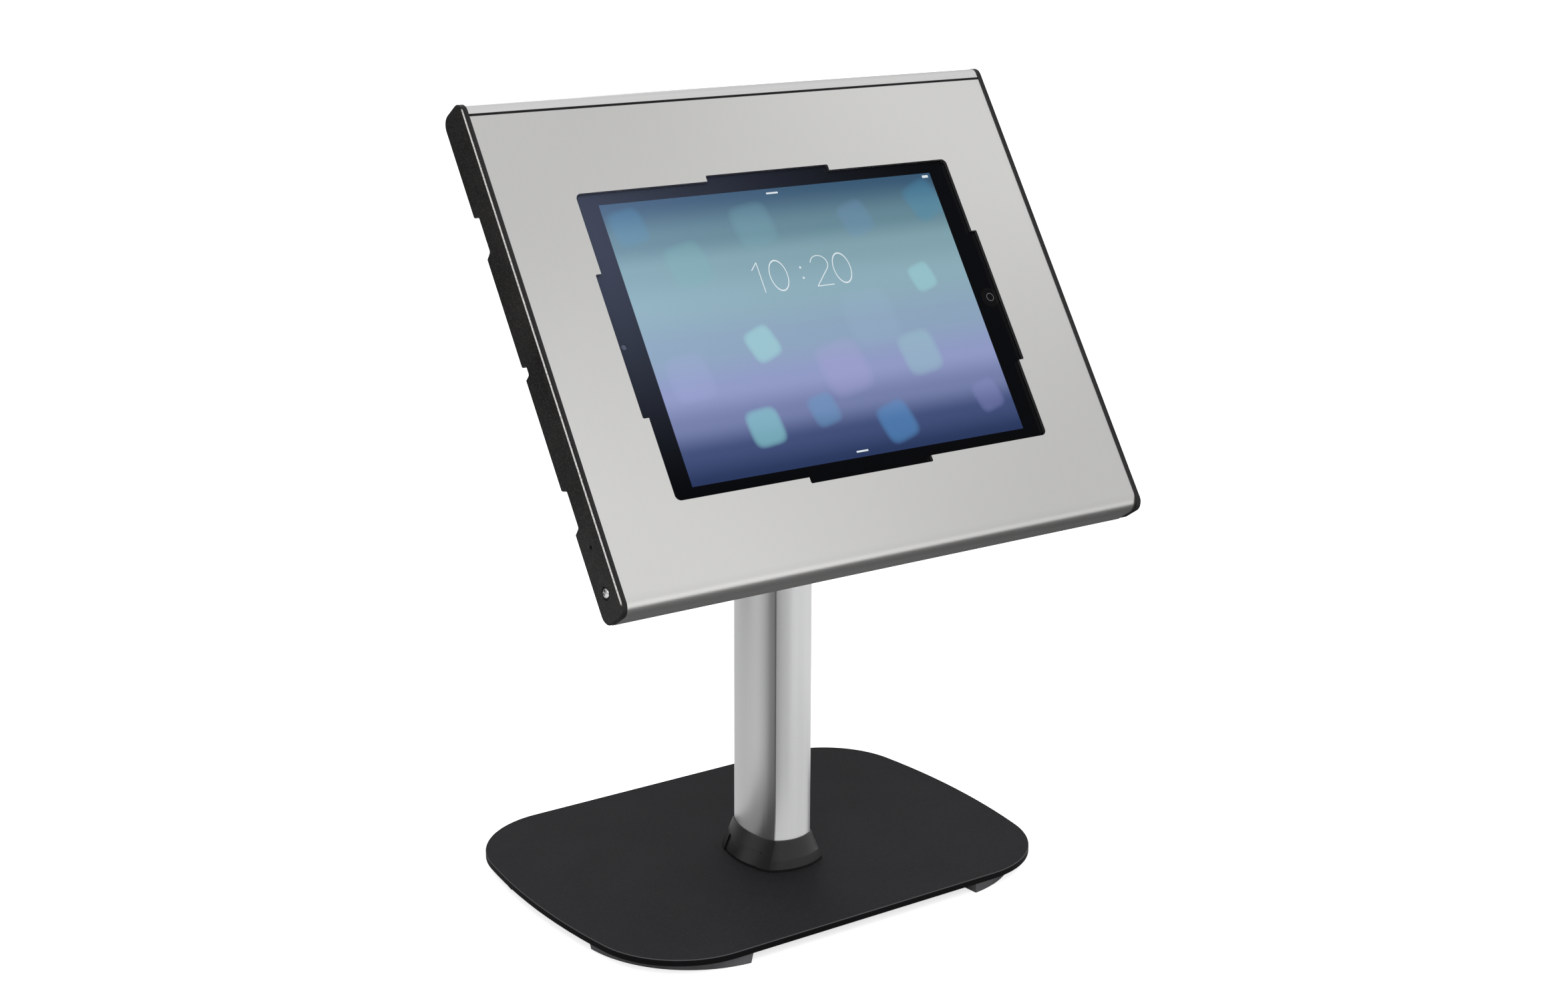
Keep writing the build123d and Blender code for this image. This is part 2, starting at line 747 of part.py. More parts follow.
# Front panel: the pressed face with the window, rolled under and back along the bottom
with BuildPart() as front_panel:
    with BuildSketch(head_section(-panel_width / 2)) as panel_profile:
        with BuildLine():
            Polyline(
                (panel_top, head_reach),
                (shell_bottom, head_reach),
                (shell_bottom, shell_back),
                (shell_bottom + panel_lip, shell_back),
                (shell_bottom + panel_lip, shell_back + sheet),
                (inner_bottom, shell_back + sheet),
                (inner_bottom, panel_back),
                (panel_top, panel_back),
                close=True,
            )
        make_face()
        low_corners = panel_profile.vertices().group_by(Axis.X)[0].sort_by(Axis.Y)
        fillet(low_corners[-1], radius=panel_bottom_radius)
        low_corners = panel_profile.vertices().group_by(Axis.X)[0].sort_by(Axis.Y)
        fillet(low_corners[0], radius=lip_radius)
        inner_corners = panel_profile.vertices().filter_by_position(
            Axis.X, inner_bottom - fit_gap, inner_bottom + fit_gap
        )
        fillet(inner_corners.sort_by(Axis.Y)[-1], radius=panel_bottom_radius - sheet)
    extrude(amount=panel_width)
    with BuildSketch(head.offset(panel_back)):
        RectangleRounded(window_width, window_height, window_corner_radius)
        RectangleRounded(step_length, window_height + 2 * step_depth, step_radius)
        RectangleRounded(window_width + 2 * step_depth, step_length, step_radius)
    extrude(amount=sheet, mode=Mode.SUBTRACT)

front_panel.part.label = "front_panel"
export_step(front_panel.part, "parts/front_panel.step")

# Top profile: an extruded cap over the housing, with a tongue behind the panel's upper edge
with BuildPart() as top_profile:
    with BuildSketch(head_section(-panel_width / 2)) as cap_profile:
        with BuildLine():
            Polyline(
                (profile_bottom, head_reach),
                (shell_top, head_reach),
                (shell_top, shell_back),
                (shell_top - profile_leg, shell_back),
                (shell_top - profile_leg, shell_back + sheet),
                (inner_top, shell_back + sheet),
                (inner_top, tongue_back),
                (profile_bottom - tongue_length, tongue_back),
                (profile_bottom - tongue_length, tongue_front),
                (profile_bottom, tongue_front),
                close=True,
            )
        make_face()
        top_corners = cap_profile.vertices().group_by(Axis.X)[-1].sort_by(Axis.Y)
        fillet(top_corners[-1], radius=profile_front_radius)
        top_corners = cap_profile.vertices().group_by(Axis.X)[-1].sort_by(Axis.Y)
        fillet(top_corners[0], radius=profile_back_radius)
        inner_corners = cap_profile.vertices().filter_by_position(
            Axis.X, inner_top - fit_gap, inner_top + fit_gap
        )
        fillet(inner_corners.sort_by(Axis.Y)[0], radius=lip_radius)
    extrude(amount=panel_width)

top_profile.part.label = "top_profile"
export_step(top_profile.part, "parts/top_profile.step")

# Black strip in the seam between the panel and the top profile
with BuildPart() as seam_gasket:
    with BuildSketch(head_section(-panel_width / 2)):
        with Locations((panel_top + seam_width / 2, (tongue_front + head_reach - gasket_recess) / 2)):
            Rectangle(seam_width, head_reach - gasket_recess - tongue_front)
    extrude(amount=panel_width)

seam_gasket.part.label = "seam_gasket"
export_step(seam_gasket.part, "parts/seam_gasket.step")


def notch_outline(middle, mouth, slope, depth):
    """A notch cut in from the rear edge of a side plate, narrower at its floor."""
    Polyline(
        (middle - mouth / 2, side_back),
        (middle - mouth / 2 + slope, side_back + depth),
        (middle + mouth / 2 - slope, side_back + depth),
        (middle + mouth / 2, side_back),
        (middle + mouth / 2, side_back - depth),
        (middle - mouth / 2, side_back - depth),
        close=True,
    )


# Side plates and liners: the same outline twice on each side of the housing
side_middle = (head_top + head_bottom) / 2
side_middle_level = (side_front + side_back) / 2
liner_inner = panel_width / 2
liner_outer = liner_inner + liner_thickness
plate_inner = liner_outer + side_gap
plate_outer = plate_inner + side_thickness
pin_hole_y = head_bottom + pin_hole_rise
pin_hole_level = head_reach - pin_hole_setback
notches = (
    (-notch_spacing / 2, notch_mouth, notch_slope, notch_depth),
    (0, small_notch_mouth, small_notch_slope, small_notch_depth),
    (notch_spacing / 2, notch_mouth, notch_slope, notch_depth),
)
side_layers = {
    "side_plate_left": (-plate_outer, side_thickness),
    "side_liner_left": (-liner_outer, liner_thickness),
    "side_liner_right": (liner_inner, liner_thickness),
    "side_plate_right": (plate_inner, side_thickness),
}
for layer_name, (layer_start, layer_thickness) in side_layers.items():
    with BuildPart() as layer:
        with BuildSketch(head_section(layer_start)) as layer_face:
            with Locations((side_middle, side_middle_level)):
                RectangleRounded(head_height, side_depth, side_corner_radius)
            for middle, mouth, slope, depth in notches:
                with BuildLine():
                    notch_outline(middle, mouth, slope, depth)
                make_face(mode=Mode.SUBTRACT)
                reach = mouth / 2 + fit_gap
                notch_corners = layer_face.vertices().filter_by_position(
                    Axis.X, middle - reach, middle + reach
                )
                notch_corners = notch_corners.filter_by_position(
                    Axis.Y, side_back - fit_gap, side_back + depth + fit_gap
                )
                fillet(notch_corners, radius=notch_radius)
            with Locations((cap_screw_y, cap_screw_level)):
                Circle(cap_screw_radius + fit_gap, mode=Mode.SUBTRACT)
            with Locations((pin_hole_y, pin_hole_level)):
                Circle(pin_hole_radius, mode=Mode.SUBTRACT)
        extrude(amount=layer_thickness)
        if "liner" in layer_name:
            inward = 1 if layer_start < 0 else -1
            peg_start = inward * -liner_inner
            with BuildSketch(head_section(peg_start)):
                with Locations((peg_y, peg_level)):
                    Circle(peg_radius)
            extrude(amount=inward * peg_length)
        else:
            outer_faces = layer.faces().sort_by(Axis.X)
            outer_face = outer_faces[0] if layer_start < 0 else outer_faces[-1]
            chamfer(outer_face.outer_wire().edges(), length=side_edge_radius)
            outward = -1 if layer_start < 0 else 1
            with BuildSketch(head_section(outward * plate_outer)):
                with Locations((cap_screw_y, cap_screw_level)):
                    Circle(dome_radius + dome_recess_gap)
            extrude(amount=-outward * dome_recess_depth, mode=Mode.SUBTRACT)
    layer.part.label = layer_name
    export_step(layer.part, f"parts/{layer_name}.step")

# Domed security screws low on the side plates
recess_floor = plate_outer - dome_recess_depth
with BuildPart() as security_screws:
    for screw_side in (1, -1):
        with BuildSketch(head_section(screw_side * recess_floor)):
            with Locations((cap_screw_y, cap_screw_level)):
                Circle(cap_screw_radius)
        extrude(amount=-screw_side * (recess_floor - liner_inner + cap_screw_length))
        with BuildSketch(head_section(screw_side * recess_floor)):
            with Locations((cap_screw_y, cap_screw_level)):
                Circle(dome_radius)
        extrude(amount=screw_side * dome_height)
    for screw_side in (-1, 1):
        rim = security_screws.faces().sort_by(Axis.X)[0 if screw_side < 0 else -1]
        fillet(rim.edges(), radius=dome_height - fit_gap)

security_screws.part.label = "security_screws"
export_step(security_screws.part, "parts/security_screws.step")

# Corner brackets inside the housing: threaded blocks for the side plates' screws
bracket_inner = back_half_width - back_plate_thickness - bracket_reach
bracket_x = bracket_inner + bracket_reach / 2
with BuildPart() as corner_brackets:
    with BuildSketch(head.offset(back_plate_front)):
        with Locations((-bracket_x, cap_screw_y), (bracket_x, cap_screw_y)):
            Rectangle(bracket_reach, bracket_length)
    extrude(amount=bracket_height)
    with BuildSketch(head_section(-back_half_width)):
        with Locations((cap_screw_y, cap_screw_level)):
            Circle(cap_screw_radius + fit_gap)
    extrude(amount=2 * back_half_width, mode=Mode.SUBTRACT)

corner_brackets.part.label = "corner_brackets"
export_step(corner_brackets.part, "parts/corner_brackets.step")

# Tablet holder: a tray on four posts, with walls round the tablet and foam on every side
with BuildPart() as tray_posts:
    with BuildSketch(head.offset(back_plate_front)):
        with GridLocations(tray_post_spacing_x, tray_post_spacing_y, 2, 2):
            Circle(tray_post_radius)
        with GridLocations(tray_post_spacing_x, tray_post_spacing_y, 2, 2):
            Circle(tray_screw_radius + fit_gap, mode=Mode.SUBTRACT)
    extrude(amount=tray_back - back_plate_front)

tray_posts.part.label = "tray_posts"
export_step(tray_posts.part, "parts/tray_posts.step")

wall_y = (tray_height - tray_wall) / 2
wall_x = (tray_width - tray_wall) / 2
with BuildPart() as tablet_tray:
    with BuildSketch(head.offset(tray_back)):
        RectangleRounded(tray_width, tray_height, tablet_corner_radius)
    extrude(amount=tray_thickness)
    with BuildSketch(head.offset(tray_front)):
        with Locations((0, wall_y), (0, -wall_y)):
            Rectangle(tray_wall_long, tray_wall)
        with Locations((wall_x, 0), (-wall_x, 0)):
            Rectangle(tray_wall, tray_wall_short)
    extrude(amount=tray_wall_height)
    with Locations(head.offset(tray_front)):
        with GridLocations(tray_post_spacing_x, tray_post_spacing_y, 2, 2):
            CounterSinkHole(
                tray_screw_radius + fit_gap,
                tray_screw_head_radius,
                counter_sink_angle=screw_head_angle,
            )

tablet_tray.part.label = "tablet_tray"
export_step(tablet_tray.part, "parts/tablet_tray.step")

tray_cone_height = tray_screw_head_radius - tray_screw_radius - fit_gap
with BuildPart() as tray_screws:
    with BuildSketch(head.offset(back_plate_back)):
        with GridLocations(tray_post_spacing_x, tray_post_spacing_y, 2, 2):
            Circle(tray_screw_radius)
    extrude(amount=tray_front - back_plate_back)
    with Locations(head.offset(tray_front - tray_cone_height / 2)):
        with GridLocations(tray_post_spacing_x, tray_post_spacing_y, 2, 2):
            Cone(tray_screw_radius, tray_screw_head_radius - fit_gap, tray_cone_height)

tray_screws.part.label = "tray_screws"
export_step(tray_screws.part, "parts/tray_screws.step")

edge_pad_y = (tablet_height + edge_pad_thickness) / 2
edge_pad_x = (tablet_width + edge_pad_thickness) / 2
with BuildPart() as edge_pads:
    with BuildSketch(head.offset(tray_front)):
        with Locations((0, edge_pad_y), (0, -edge_pad_y)):
            Rectangle(tray_wall_long, edge_pad_thickness)
        with Locations((edge_pad_x, 0), (-edge_pad_x, 0)):
            Rectangle(edge_pad_thickness, tray_wall_short)
    extrude(amount=tray_wall_height - edge_pad_inset)

edge_pads.part.label = "edge_pads"
export_step(edge_pads.part, "parts/edge_pads.step")

with BuildPart() as back_pads:
    with BuildSketch(head.offset(tray_front)):
        with GridLocations(back_pad_spacing_x, back_pad_spacing_y, 3, 2):
            Rectangle(back_pad_width, back_pad_height)
    extrude(amount=back_pad_thickness)

back_pads.part.label = "back_pads"
export_step(back_pads.part, "parts/back_pads.step")

# Tablet: a shallow metal body, the display, the cover glass, the lens and the button's switch
display_width = tablet_width - 2 * bezel_x
display_height = tablet_height - 2 * bezel_y
display_end = display_x + display_width / 2
button_x = (display_end + tablet_width / 2) / 2 - button_shift
cavity_width = display_width - 2 * cavity_margin_x
cavity_height = display_height - 2 * cavity_margin_y
cell_width = (cavity_width - 2 * cell_side_margin - (cell_count - 1) * cell_gap) / cell_count
cell_height = cavity_height - 2 * cell_end_margin
lens_x = lens_inset - tablet_width / 2 + glass_inset
button_hole_radius = button_radius + running_gap
switch_floor = glass_back - switch_pocket_depth
cavity_floor = tablet_back + tablet_floor
display_back = glass_back - display_thickness
with BuildPart() as tablet_body:
    with BuildSketch(head.offset(tablet_back)):
        RectangleRounded(tablet_width, tablet_height, tablet_corner_radius)
    extrude(amount=glass_back - tablet_back)
    fillet(tablet_body.faces().sort_by(Axis(head.origin, head.z_dir))[0].edges(), radius=tablet_edge_radius)
    with BuildSketch(head.offset(glass_back)):
        with Locations((display_x, 0)):
            Rectangle(display_width, display_height)
    extrude(amount=-display_thickness, mode=Mode.SUBTRACT)
    with BuildSketch(head.offset(cavity_floor)):
        with Locations((display_x, 0)):
            Rectangle(cavity_width, cavity_height)
    extrude(amount=glass_back - cavity_floor, mode=Mode.SUBTRACT)
    with BuildSketch(head.offset(glass_back)):
        with Locations((button_x, 0)):
            Circle(button_hole_radius)
    extrude(amount=-switch_pocket_depth, mode=Mode.SUBTRACT)

tablet_body.part.label = "tablet_body"
export_step(tablet_body.part, "parts/tablet_body.step")

with BuildPart() as tablet_battery:
    with BuildSketch(head.offset(cavity_floor)):
        with Locations((display_x, 0)):
            with GridLocations(cell_width + cell_gap, 0, cell_count, 1):
                Rectangle(cell_width, cell_height)
    extrude(amount=display_back - cell_headroom - cavity_floor)

tablet_battery.part.label = "tablet_battery"
export_step(tablet_battery.part, "parts/tablet_battery.step")

with BuildPart() as tablet_display:
    with BuildSketch(head.offset(display_back)):
        with Locations((display_x, 0)):
            Rectangle(display_width, display_height)
    extrude(amount=display_thickness)

tablet_display.part.label = "tablet_display"
export_step(tablet_display.part, "parts/tablet_display.step")

with BuildPart() as tablet_glass:
    with BuildSketch(head.offset(glass_back)):
        RectangleRounded(
            tablet_width - 2 * glass_inset,
            tablet_height - 2 * glass_inset,
            tablet_corner_radius - glass_inset,
        )
        with Locations((button_x, 0)):
            Circle(button_hole_radius, mode=Mode.SUBTRACT)
        with Locations((lens_x, 0)):
            Circle(lens_radius + fit_gap, mode=Mode.SUBTRACT)
    extrude(amount=glass_thickness)

tablet_glass.part.label = "tablet_glass"
export_step(tablet_glass.part, "parts/tablet_glass.step")

with BuildPart() as camera_lens:
    with BuildSketch(head.offset(glass_back)):
        with Locations((lens_x, 0)):
            Circle(lens_radius)
    extrude(amount=lens_thickness)

camera_lens.part.label = "camera_lens"
export_step(camera_lens.part, "parts/camera_lens.step")

with BuildPart() as home_switch:
    with BuildSketch(head.offset(switch_floor)):
        with Locations((button_x, 0)):
            Circle(switch_radius)
    extrude(amount=switch_thickness)

home_switch.part.label = "home_switch"
export_step(home_switch.part, "parts/home_switch.step")

# Home button: a shallow disc with a stem over the switch
button_front = glass_front - button_sink
stem_back = switch_floor + switch_thickness + button_travel + fit_gap
with BuildPart() as home_button:
    with BuildSketch(head.offset(stem_back)):
        with Locations((button_x, 0)):
            Circle(button_stem_radius)
    extrude(amount=button_front - stem_back)
    with BuildSketch(head.offset(button_front)):
        with Locations((button_x, 0)):
            Circle(button_radius)
    extrude(amount=-button_disc_thickness)

home_button.part.label = "home_button"
export_step(home_button.part, "parts/home_button.step")

# Places that the joints and mounts are stated from
print("pivot", head.origin, "facing", head.z_dir, "tilt", tilt_angle)
print("foot centre", base_floor.from_local_coords((foot_x, foot_y, 0)))
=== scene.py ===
"""Dresses the tablet kiosk stand for a studio picture.

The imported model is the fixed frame. Each sub-assembly has a class that gives its surfaces their finish
and makes its extra pieces. All lengths are metres in the model's own frame.
"""

import logging
import math
from dataclasses import dataclass
from enum import Enum

import bmesh
import bpy
from mathutils import Matrix, Vector

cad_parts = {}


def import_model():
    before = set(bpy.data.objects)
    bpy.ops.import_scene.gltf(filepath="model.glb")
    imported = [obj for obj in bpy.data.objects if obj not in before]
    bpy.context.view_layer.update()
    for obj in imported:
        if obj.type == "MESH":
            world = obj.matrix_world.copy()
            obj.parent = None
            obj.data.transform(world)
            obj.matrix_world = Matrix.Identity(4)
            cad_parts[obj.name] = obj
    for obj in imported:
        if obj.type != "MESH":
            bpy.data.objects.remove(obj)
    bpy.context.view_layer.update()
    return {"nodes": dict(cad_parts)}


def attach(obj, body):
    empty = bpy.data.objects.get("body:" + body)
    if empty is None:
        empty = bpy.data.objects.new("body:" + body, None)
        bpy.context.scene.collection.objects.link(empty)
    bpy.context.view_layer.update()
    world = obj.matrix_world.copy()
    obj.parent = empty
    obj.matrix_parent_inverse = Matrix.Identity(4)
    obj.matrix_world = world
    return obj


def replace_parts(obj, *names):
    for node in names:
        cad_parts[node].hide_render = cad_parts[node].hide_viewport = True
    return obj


LOG = logging.getLogger("kiosk")
MM = 0.001

Colour = tuple[float, float, float]
Point = tuple[float, float, float]
Span = tuple[float, float]
Socket = bpy.types.NodeSocket
Geometry = list[bmesh.types.BMVert | bmesh.types.BMEdge]

BLACK: Colour = (0.0, 0.0, 0.0)
ORIGIN: Point = (0.0, 0.0, 0.0)
UP: Point = (0.0, 0.0, 1.0)
UNIT: Span = (0.0, 1.0)
FALLING: Span = (1.0, 0.0)
# The span that a soft noise mostly keeps to
NOISE: Span = (0.3, 0.7)
FULL_TURN: Span = (0.0, 360.0)

# The head's own coordinates start on the tilt axis: x right, y up the head, z out of the screen
HEAD_PIVOT: Point = (0.0, -0.003, 0.2827)
HEAD_LEAN = math.radians(34.09)
HEAD_TURN = math.radians(90.0) - HEAD_LEAN
PANEL_FRONT = 0.0487
GLASS_FRONT = 0.0464
BUTTON_FRONT = 0.0463
PLATE_BACK = 0.0328

# The height of the base plate's top face
PLATE_TOP = 0.01
# Faces of a smooth piece meet sharply past the first angle, and the grommet's rim lies past the second
SHARP_ANGLE = math.radians(35.0)
RIM_ANGLE = 1.0
MERGE_REACH = 1e-7
ROUND_STEPS = 48


class Body(Enum):
    """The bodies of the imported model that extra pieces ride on."""

    HOUSING = "housing"
    BUTTON = "button"


def grey(level: float) -> Colour:
    """A neutral colour."""
    return (level, level, level)


def head_matrix() -> Matrix:
    """The matrix from head coordinates to the model."""
    return Matrix.Translation(HEAD_PIVOT) @ Matrix.Rotation(HEAD_TURN, 4, "X")


def mesh_of(name: str, shape: bmesh.types.BMesh) -> bpy.types.Mesh:
    """Turns a finished bmesh into a mesh, and frees it.

    Args:
        name: The mesh's name.
        shape: The bmesh.

    Returns:
        The mesh.
    """
    mesh = bpy.data.meshes.new(name)
    shape.to_mesh(mesh)
    shape.free()
    return mesh


def set_out(name: str, data: bpy.types.ID) -> bpy.types.Object:
    """Makes an object of its data and links it into the scene.

    Args:
        name: The object's name.
        data: Its mesh, lamp or camera data.

    Returns:
        The object.
    """
    made = bpy.data.objects.new(name, data)
    bpy.context.scene.collection.objects.link(made)
    return made


class Nodes:
    """The nodes of a material or a world, with short calls for the ones that it uses most."""

    def __init__(self, owner: bpy.types.Material | bpy.types.World) -> None:
        """Empties the node tree of a new material or world.

        Args:
            owner: The material or world.
        """
        owner.use_nodes = True
        self.tree = owner.node_tree
        self.tree.nodes.clear()

    def feed(self, target: Socket, value: Socket | float | tuple[float, ...]) -> None:
        """Links an input to a source, or sets its value.

        Args:
            target: The input.
            value: The source or the value.
        """
        if isinstance(value, Socket):
            self.tree.links.new(value, target)
        else:
            target.default_value = value

    def give(self, node: bpy.types.Node, **inputs: Socket | float | tuple[float, ...]) -> None:
        """Feeds a node's inputs, named with underscores for spaces."""
        for name, value in inputs.items():
            self.feed(node.inputs[name.replace("_", " ")], value)

    def add(self, kind: str, **inputs: Socket | float | tuple[float, ...]) -> bpy.types.Node:
        """Adds a node and feeds its inputs.

        Args:
            kind: Blender's node type.
            inputs: Value or source by the input's name.

        Returns:
            The new node.
        """
        node = self.tree.nodes.new(kind)
        self.give(node, **inputs)
        return node

    def chain(self, kind: str, *values: Socket | float | Point) -> bpy.types.Node:
        """Adds a node whose inputs share their names, and feeds them in their order.

        Args:
            kind: Blender's node type.
            values: Value or source of each input.

        Returns:
            The new node.
        """
        node = self.tree.nodes.new(kind)
        for target, value in zip(node.inputs, values):
            self.feed(target, value)
        return node

    def fit(self, value: Socket, source: Span, target: Span = UNIT, smooth: bool = False) -> Socket:
        """Maps one span of values to another, and clamps it.

        Args:
            value: What is mapped.
            source: The span read.
            target: The span given.
            smooth: Eases both ends.

        Returns:
            The mapped value.
        """
        node = self.add("ShaderNodeMapRange", Value=value, From_Min=source[0], From_Max=source[1])
        self.give(node, To_Min=target[0], To_Max=target[1])
        node.interpolation_type = "SMOOTHSTEP" if smooth else "LINEAR"
        return node.outputs["Result"]

    def math(self, kind: str, *values: Socket | float) -> Socket:
        """Works out one to three values.

        Args:
            kind: Blender's operation.
            values: What it works on, in order.

        Returns:
            The result.
        """
        node = self.chain("ShaderNodeMath", *values)
        node.operation = kind
        return node.outputs["Value"]

    def vector_math(self, kind: str, *values: Socket | Point) -> bpy.types.Node:
        """Works out one or two vectors.

        Args:
            kind: Blender's operation.
            values: What it works on, in order.

        Returns:
            The node, which gives a Value or a Vector.
        """
        node = self.chain("ShaderNodeVectorMath", *values)
        node.operation = kind
        return node

    def axes(self, vector: Socket) -> tuple[Socket, ...]:
        """A vector's x, y and z."""
        return tuple(self.add("ShaderNodeSeparateXYZ", Vector=vector).outputs)


class Shader(Nodes):
    """A finish's material: one Principled shader, fed from object coordinates."""

    def __init__(self, name: str) -> None:
        """Starts the material.

        Args:
            name: The material's name.
        """
        self.material = bpy.data.materials.new(name)
        super().__init__(self.material)
        self.surface = self.add("ShaderNodeBsdfPrincipled")
        self.add("ShaderNodeOutputMaterial", Surface=self.surface.outputs["BSDF"])
        self.place = self.add("ShaderNodeTexCoord").outputs["Object"]

    def mapped(self, size: float | Point, turn: Point = ORIGIN, origin: Point = ORIGIN) -> Socket:
        """Object coordinates measured in a pattern's own size.

        Args:
            size: The length that counts as one, on all axes or along each.
            turn: The pattern's turn about each axis, in radians.
            origin: The pattern's own origin in the model.

        Returns:
            The mapped coordinates.
        """
        scale = size if isinstance(size, tuple) else (size,) * 3
        node = self.add("ShaderNodeMapping", Location=origin, Rotation=turn, Scale=scale, Vector=self.place)
        node.vector_type = "TEXTURE"
        return node.outputs["Vector"]

    def on_head(self, size: float | Point = 1.0, origin: Point = HEAD_PIVOT) -> Socket:
        """Head coordinates measured in a pattern's own size, from the tilt axis or another origin."""
        return self.mapped(size, (HEAD_TURN, 0.0, 0.0), origin)

    def noise(self, vector: Socket, detail: float = 2.0, rough: float = 0.5) -> Socket:
        """Soft noise from 0 to 1, with features about one unit of its coordinates wide."""
        node = self.add("ShaderNodeTexNoise", Scale=1.0, Detail=detail, Roughness=rough, Vector=vector)
        return node.outputs["Fac"]

    def mix(self, factor: Socket | float, low: Colour | Socket, high: Colour | Socket) -> Socket:
        """Blends two colours.

        Args:
            factor: 0 gives the first colour and 1 the second.
            low: First colour.
            high: Second colour.

        Returns:
            The blended colour.
        """
        node = self.add("ShaderNodeMix")
        node.data_type = "RGBA"
        of_type = [socket for socket in node.inputs if socket.type == "RGBA"]
        for target, value in zip((node.inputs[0], *of_type), (factor, low, high)):
            self.feed(target, (*value, 1.0) if isinstance(value, tuple) else value)
        return next(socket for socket in node.outputs if socket.type == "RGBA")

    def ramp(self, value: Socket, stops: tuple[tuple[float, Colour], ...]) -> Socket:
        """A band of colours.

        Args:
            value: Place on the band, 0 to 1.
            stops: Place and colour of each stop, in order.

        Returns:
            The colour at that place.
        """
        node = self.add("ShaderNodeValToRGB", Fac=value)
        node.color_ramp.interpolation = "EASE"
        points = node.color_ramp.elements
        while len(points) < len(stops):
            points.new(0.5)
        for point, (place, colour) in zip(points, stops):
            point.position = place
            point.color = (*colour, 1.0)
        return node.outputs["Color"]

    def relief(self, height: Socket, depth: float, strength: float) -> None:
        """Gives the surface a bump from a height of 0 to 1 and a depth in metres."""
        node = self.add("ShaderNodeBump", Strength=strength, Distance=depth, Height=height)
        self.give(self.surface, Normal=node.outputs["Normal"])

    def done(self, **inputs: Socket | float | tuple[float, ...]) -> bpy.types.Material:
        """Feeds the Principled shader's inputs and hands the material over."""
        self.give(self.surface, **inputs)
        return self.material


@dataclass(frozen=True)
class Finish:
    """What every finish shares: a name and one material, made when first asked for."""

    name: str

    def dress(self, piece: bpy.types.Object) -> None:
        """Puts the finish on a piece.

        Args:
            piece: A mesh object.
        """
        title = "finish_" + self.name
        material = bpy.data.materials.get(title) or self.build(title)
        piece.data.materials.clear()
        piece.data.materials.append(material)

    def build(self, name: str) -> bpy.types.Material:
        """Makes the material under its full name."""
        raise NotImplementedError(name)


@dataclass(frozen=True)
class PowderCoat(Finish):
    """Baked powder coat: a fine orange peel with scattered lighter grains."""

    dark: Colour
    light: Colour
    roughness: Span
    depth: float
    specks: float
    specular: float
    grain: float = 0.0006
    speck_noise: Span = (0.5, 0.72)
    drift: float = 0.035
    clouds: Span = (0.06, 0.14)

    def build(self, name: str) -> bpy.types.Material:
        """Makes the powder coat.

        Args:
            name: The material's name.

        Returns:
            The material.
        """
        shader = Shader(name)
        grains = shader.noise(shader.mapped(self.grain), detail=3.0, rough=0.6)
        speck = shader.fit(grains, self.speck_noise, (0.0, self.specks))
        cloud = shader.fit(shader.noise(shader.mapped(self.drift)), NOISE, self.clouds)
        coat = shader.mix(shader.math("ADD", speck, cloud), self.dark, self.light)
        shader.relief(grains, self.depth, strength=0.6)
        return shader.done(
            Base_Color=self.edge_light_and_shade(shader, coat, grains),
            Roughness=shader.fit(grains, NOISE, self.roughness),
            Specular_IOR_Level=self.specular,
        )

    def edge_light_and_shade(self, shader: Shader, coat: Socket, grains: Socket) -> Socket:
        """The painted light or shade on the coat's edges: none, on a plain piece."""
        return coat


@dataclass(frozen=True)
class EdgeHighlightCoat(PowderCoat):
    """Powder coat with a painted highlight: a pale line along the outer front edges of the head."""

    # The pale line along the front corner is a painted highlight
    outer_face: float = 0.15685
    front_edge: float = 0.049
    highlight_band: Span = (0.00065, 0.00038)
    highlight_noise: Span = (0.35, 0.6)
    highlight_share: Span = (0.5, 1.0)
    highlight_colour: Colour = (0.8, 0.79, 0.77)

    def edge_light_and_shade(self, shader: Shader, coat: Socket, grains: Socket) -> Socket:
        """Paints a highlight where x and z of the head add up to its front corner.

        Args:
            shader: The coat's shader.
            coat: The coat's colour.
            grains: The coat's noise.

        Returns:
            The colour with its rubbed edge.
        """
        x, _, z = shader.axes(shader.on_head())
        reach = shader.math("ADD", shader.math("ABSOLUTE", x), z)
        corner = self.outer_face + self.front_edge
        # Painted highlight along the front corner, broken up by the coat's noise
        line = shader.fit(reach, (corner - self.highlight_band[0], corner - self.highlight_band[1]))
        patches = shader.fit(grains, self.highlight_noise, self.highlight_share)
        return shader.mix(shader.math("MULTIPLY", line, patches), coat, self.highlight_colour)


@dataclass(frozen=True)
class PlateCoat(PowderCoat):
    """Powder coat of a flat plate, with painted shade on the cut edge and a painted highlight where the top
    rolls over.
    """

    # Painted shade darkens the cut edge, and a painted highlight lightens the rim line where the top rolls
    # over
    cut_shade: Colour = grey(0.002)
    cut_shade_share: float = 0.85
    cut_shade_start: Span = (0.0005, 0.0007)
    rim_highlight: Colour = (0.13, 0.13, 0.135)
    rim_highlight_share: float = 0.6
    rim_highlight_start: Span = (0.00005, 0.00015)
    rim_highlight_end: Span = (0.0004, 0.0005)

    def edge_light_and_shade(self, shader: Shader, coat: Socket, grains: Socket) -> Socket:
        """Paints shade on the cut edge and a highlight on the line above it, by their depth below the
        plate's top.

        Args:
            shader: The coat's shader.
            coat: The coat's colour.
            grains: The coat's noise; not used.

        Returns:
            The colour with its shaded edge.
        """
        depth = shader.math("SUBTRACT", PLATE_TOP, shader.axes(shader.mapped(1.0))[2])
        # Painted shade on the cut edge, then a painted highlight on the rim line above it
        cut = shader.mix(shader.fit(depth, self.cut_shade_start, (0.0, self.cut_shade_share)), coat, self.cut_shade)
        start = shader.fit(depth, self.rim_highlight_start)
        end = shader.fit(depth, self.rim_highlight_end, (self.rim_highlight_share, 0.0))
        return shader.mix(shader.math("MULTIPLY", start, end), cut, self.rim_highlight)


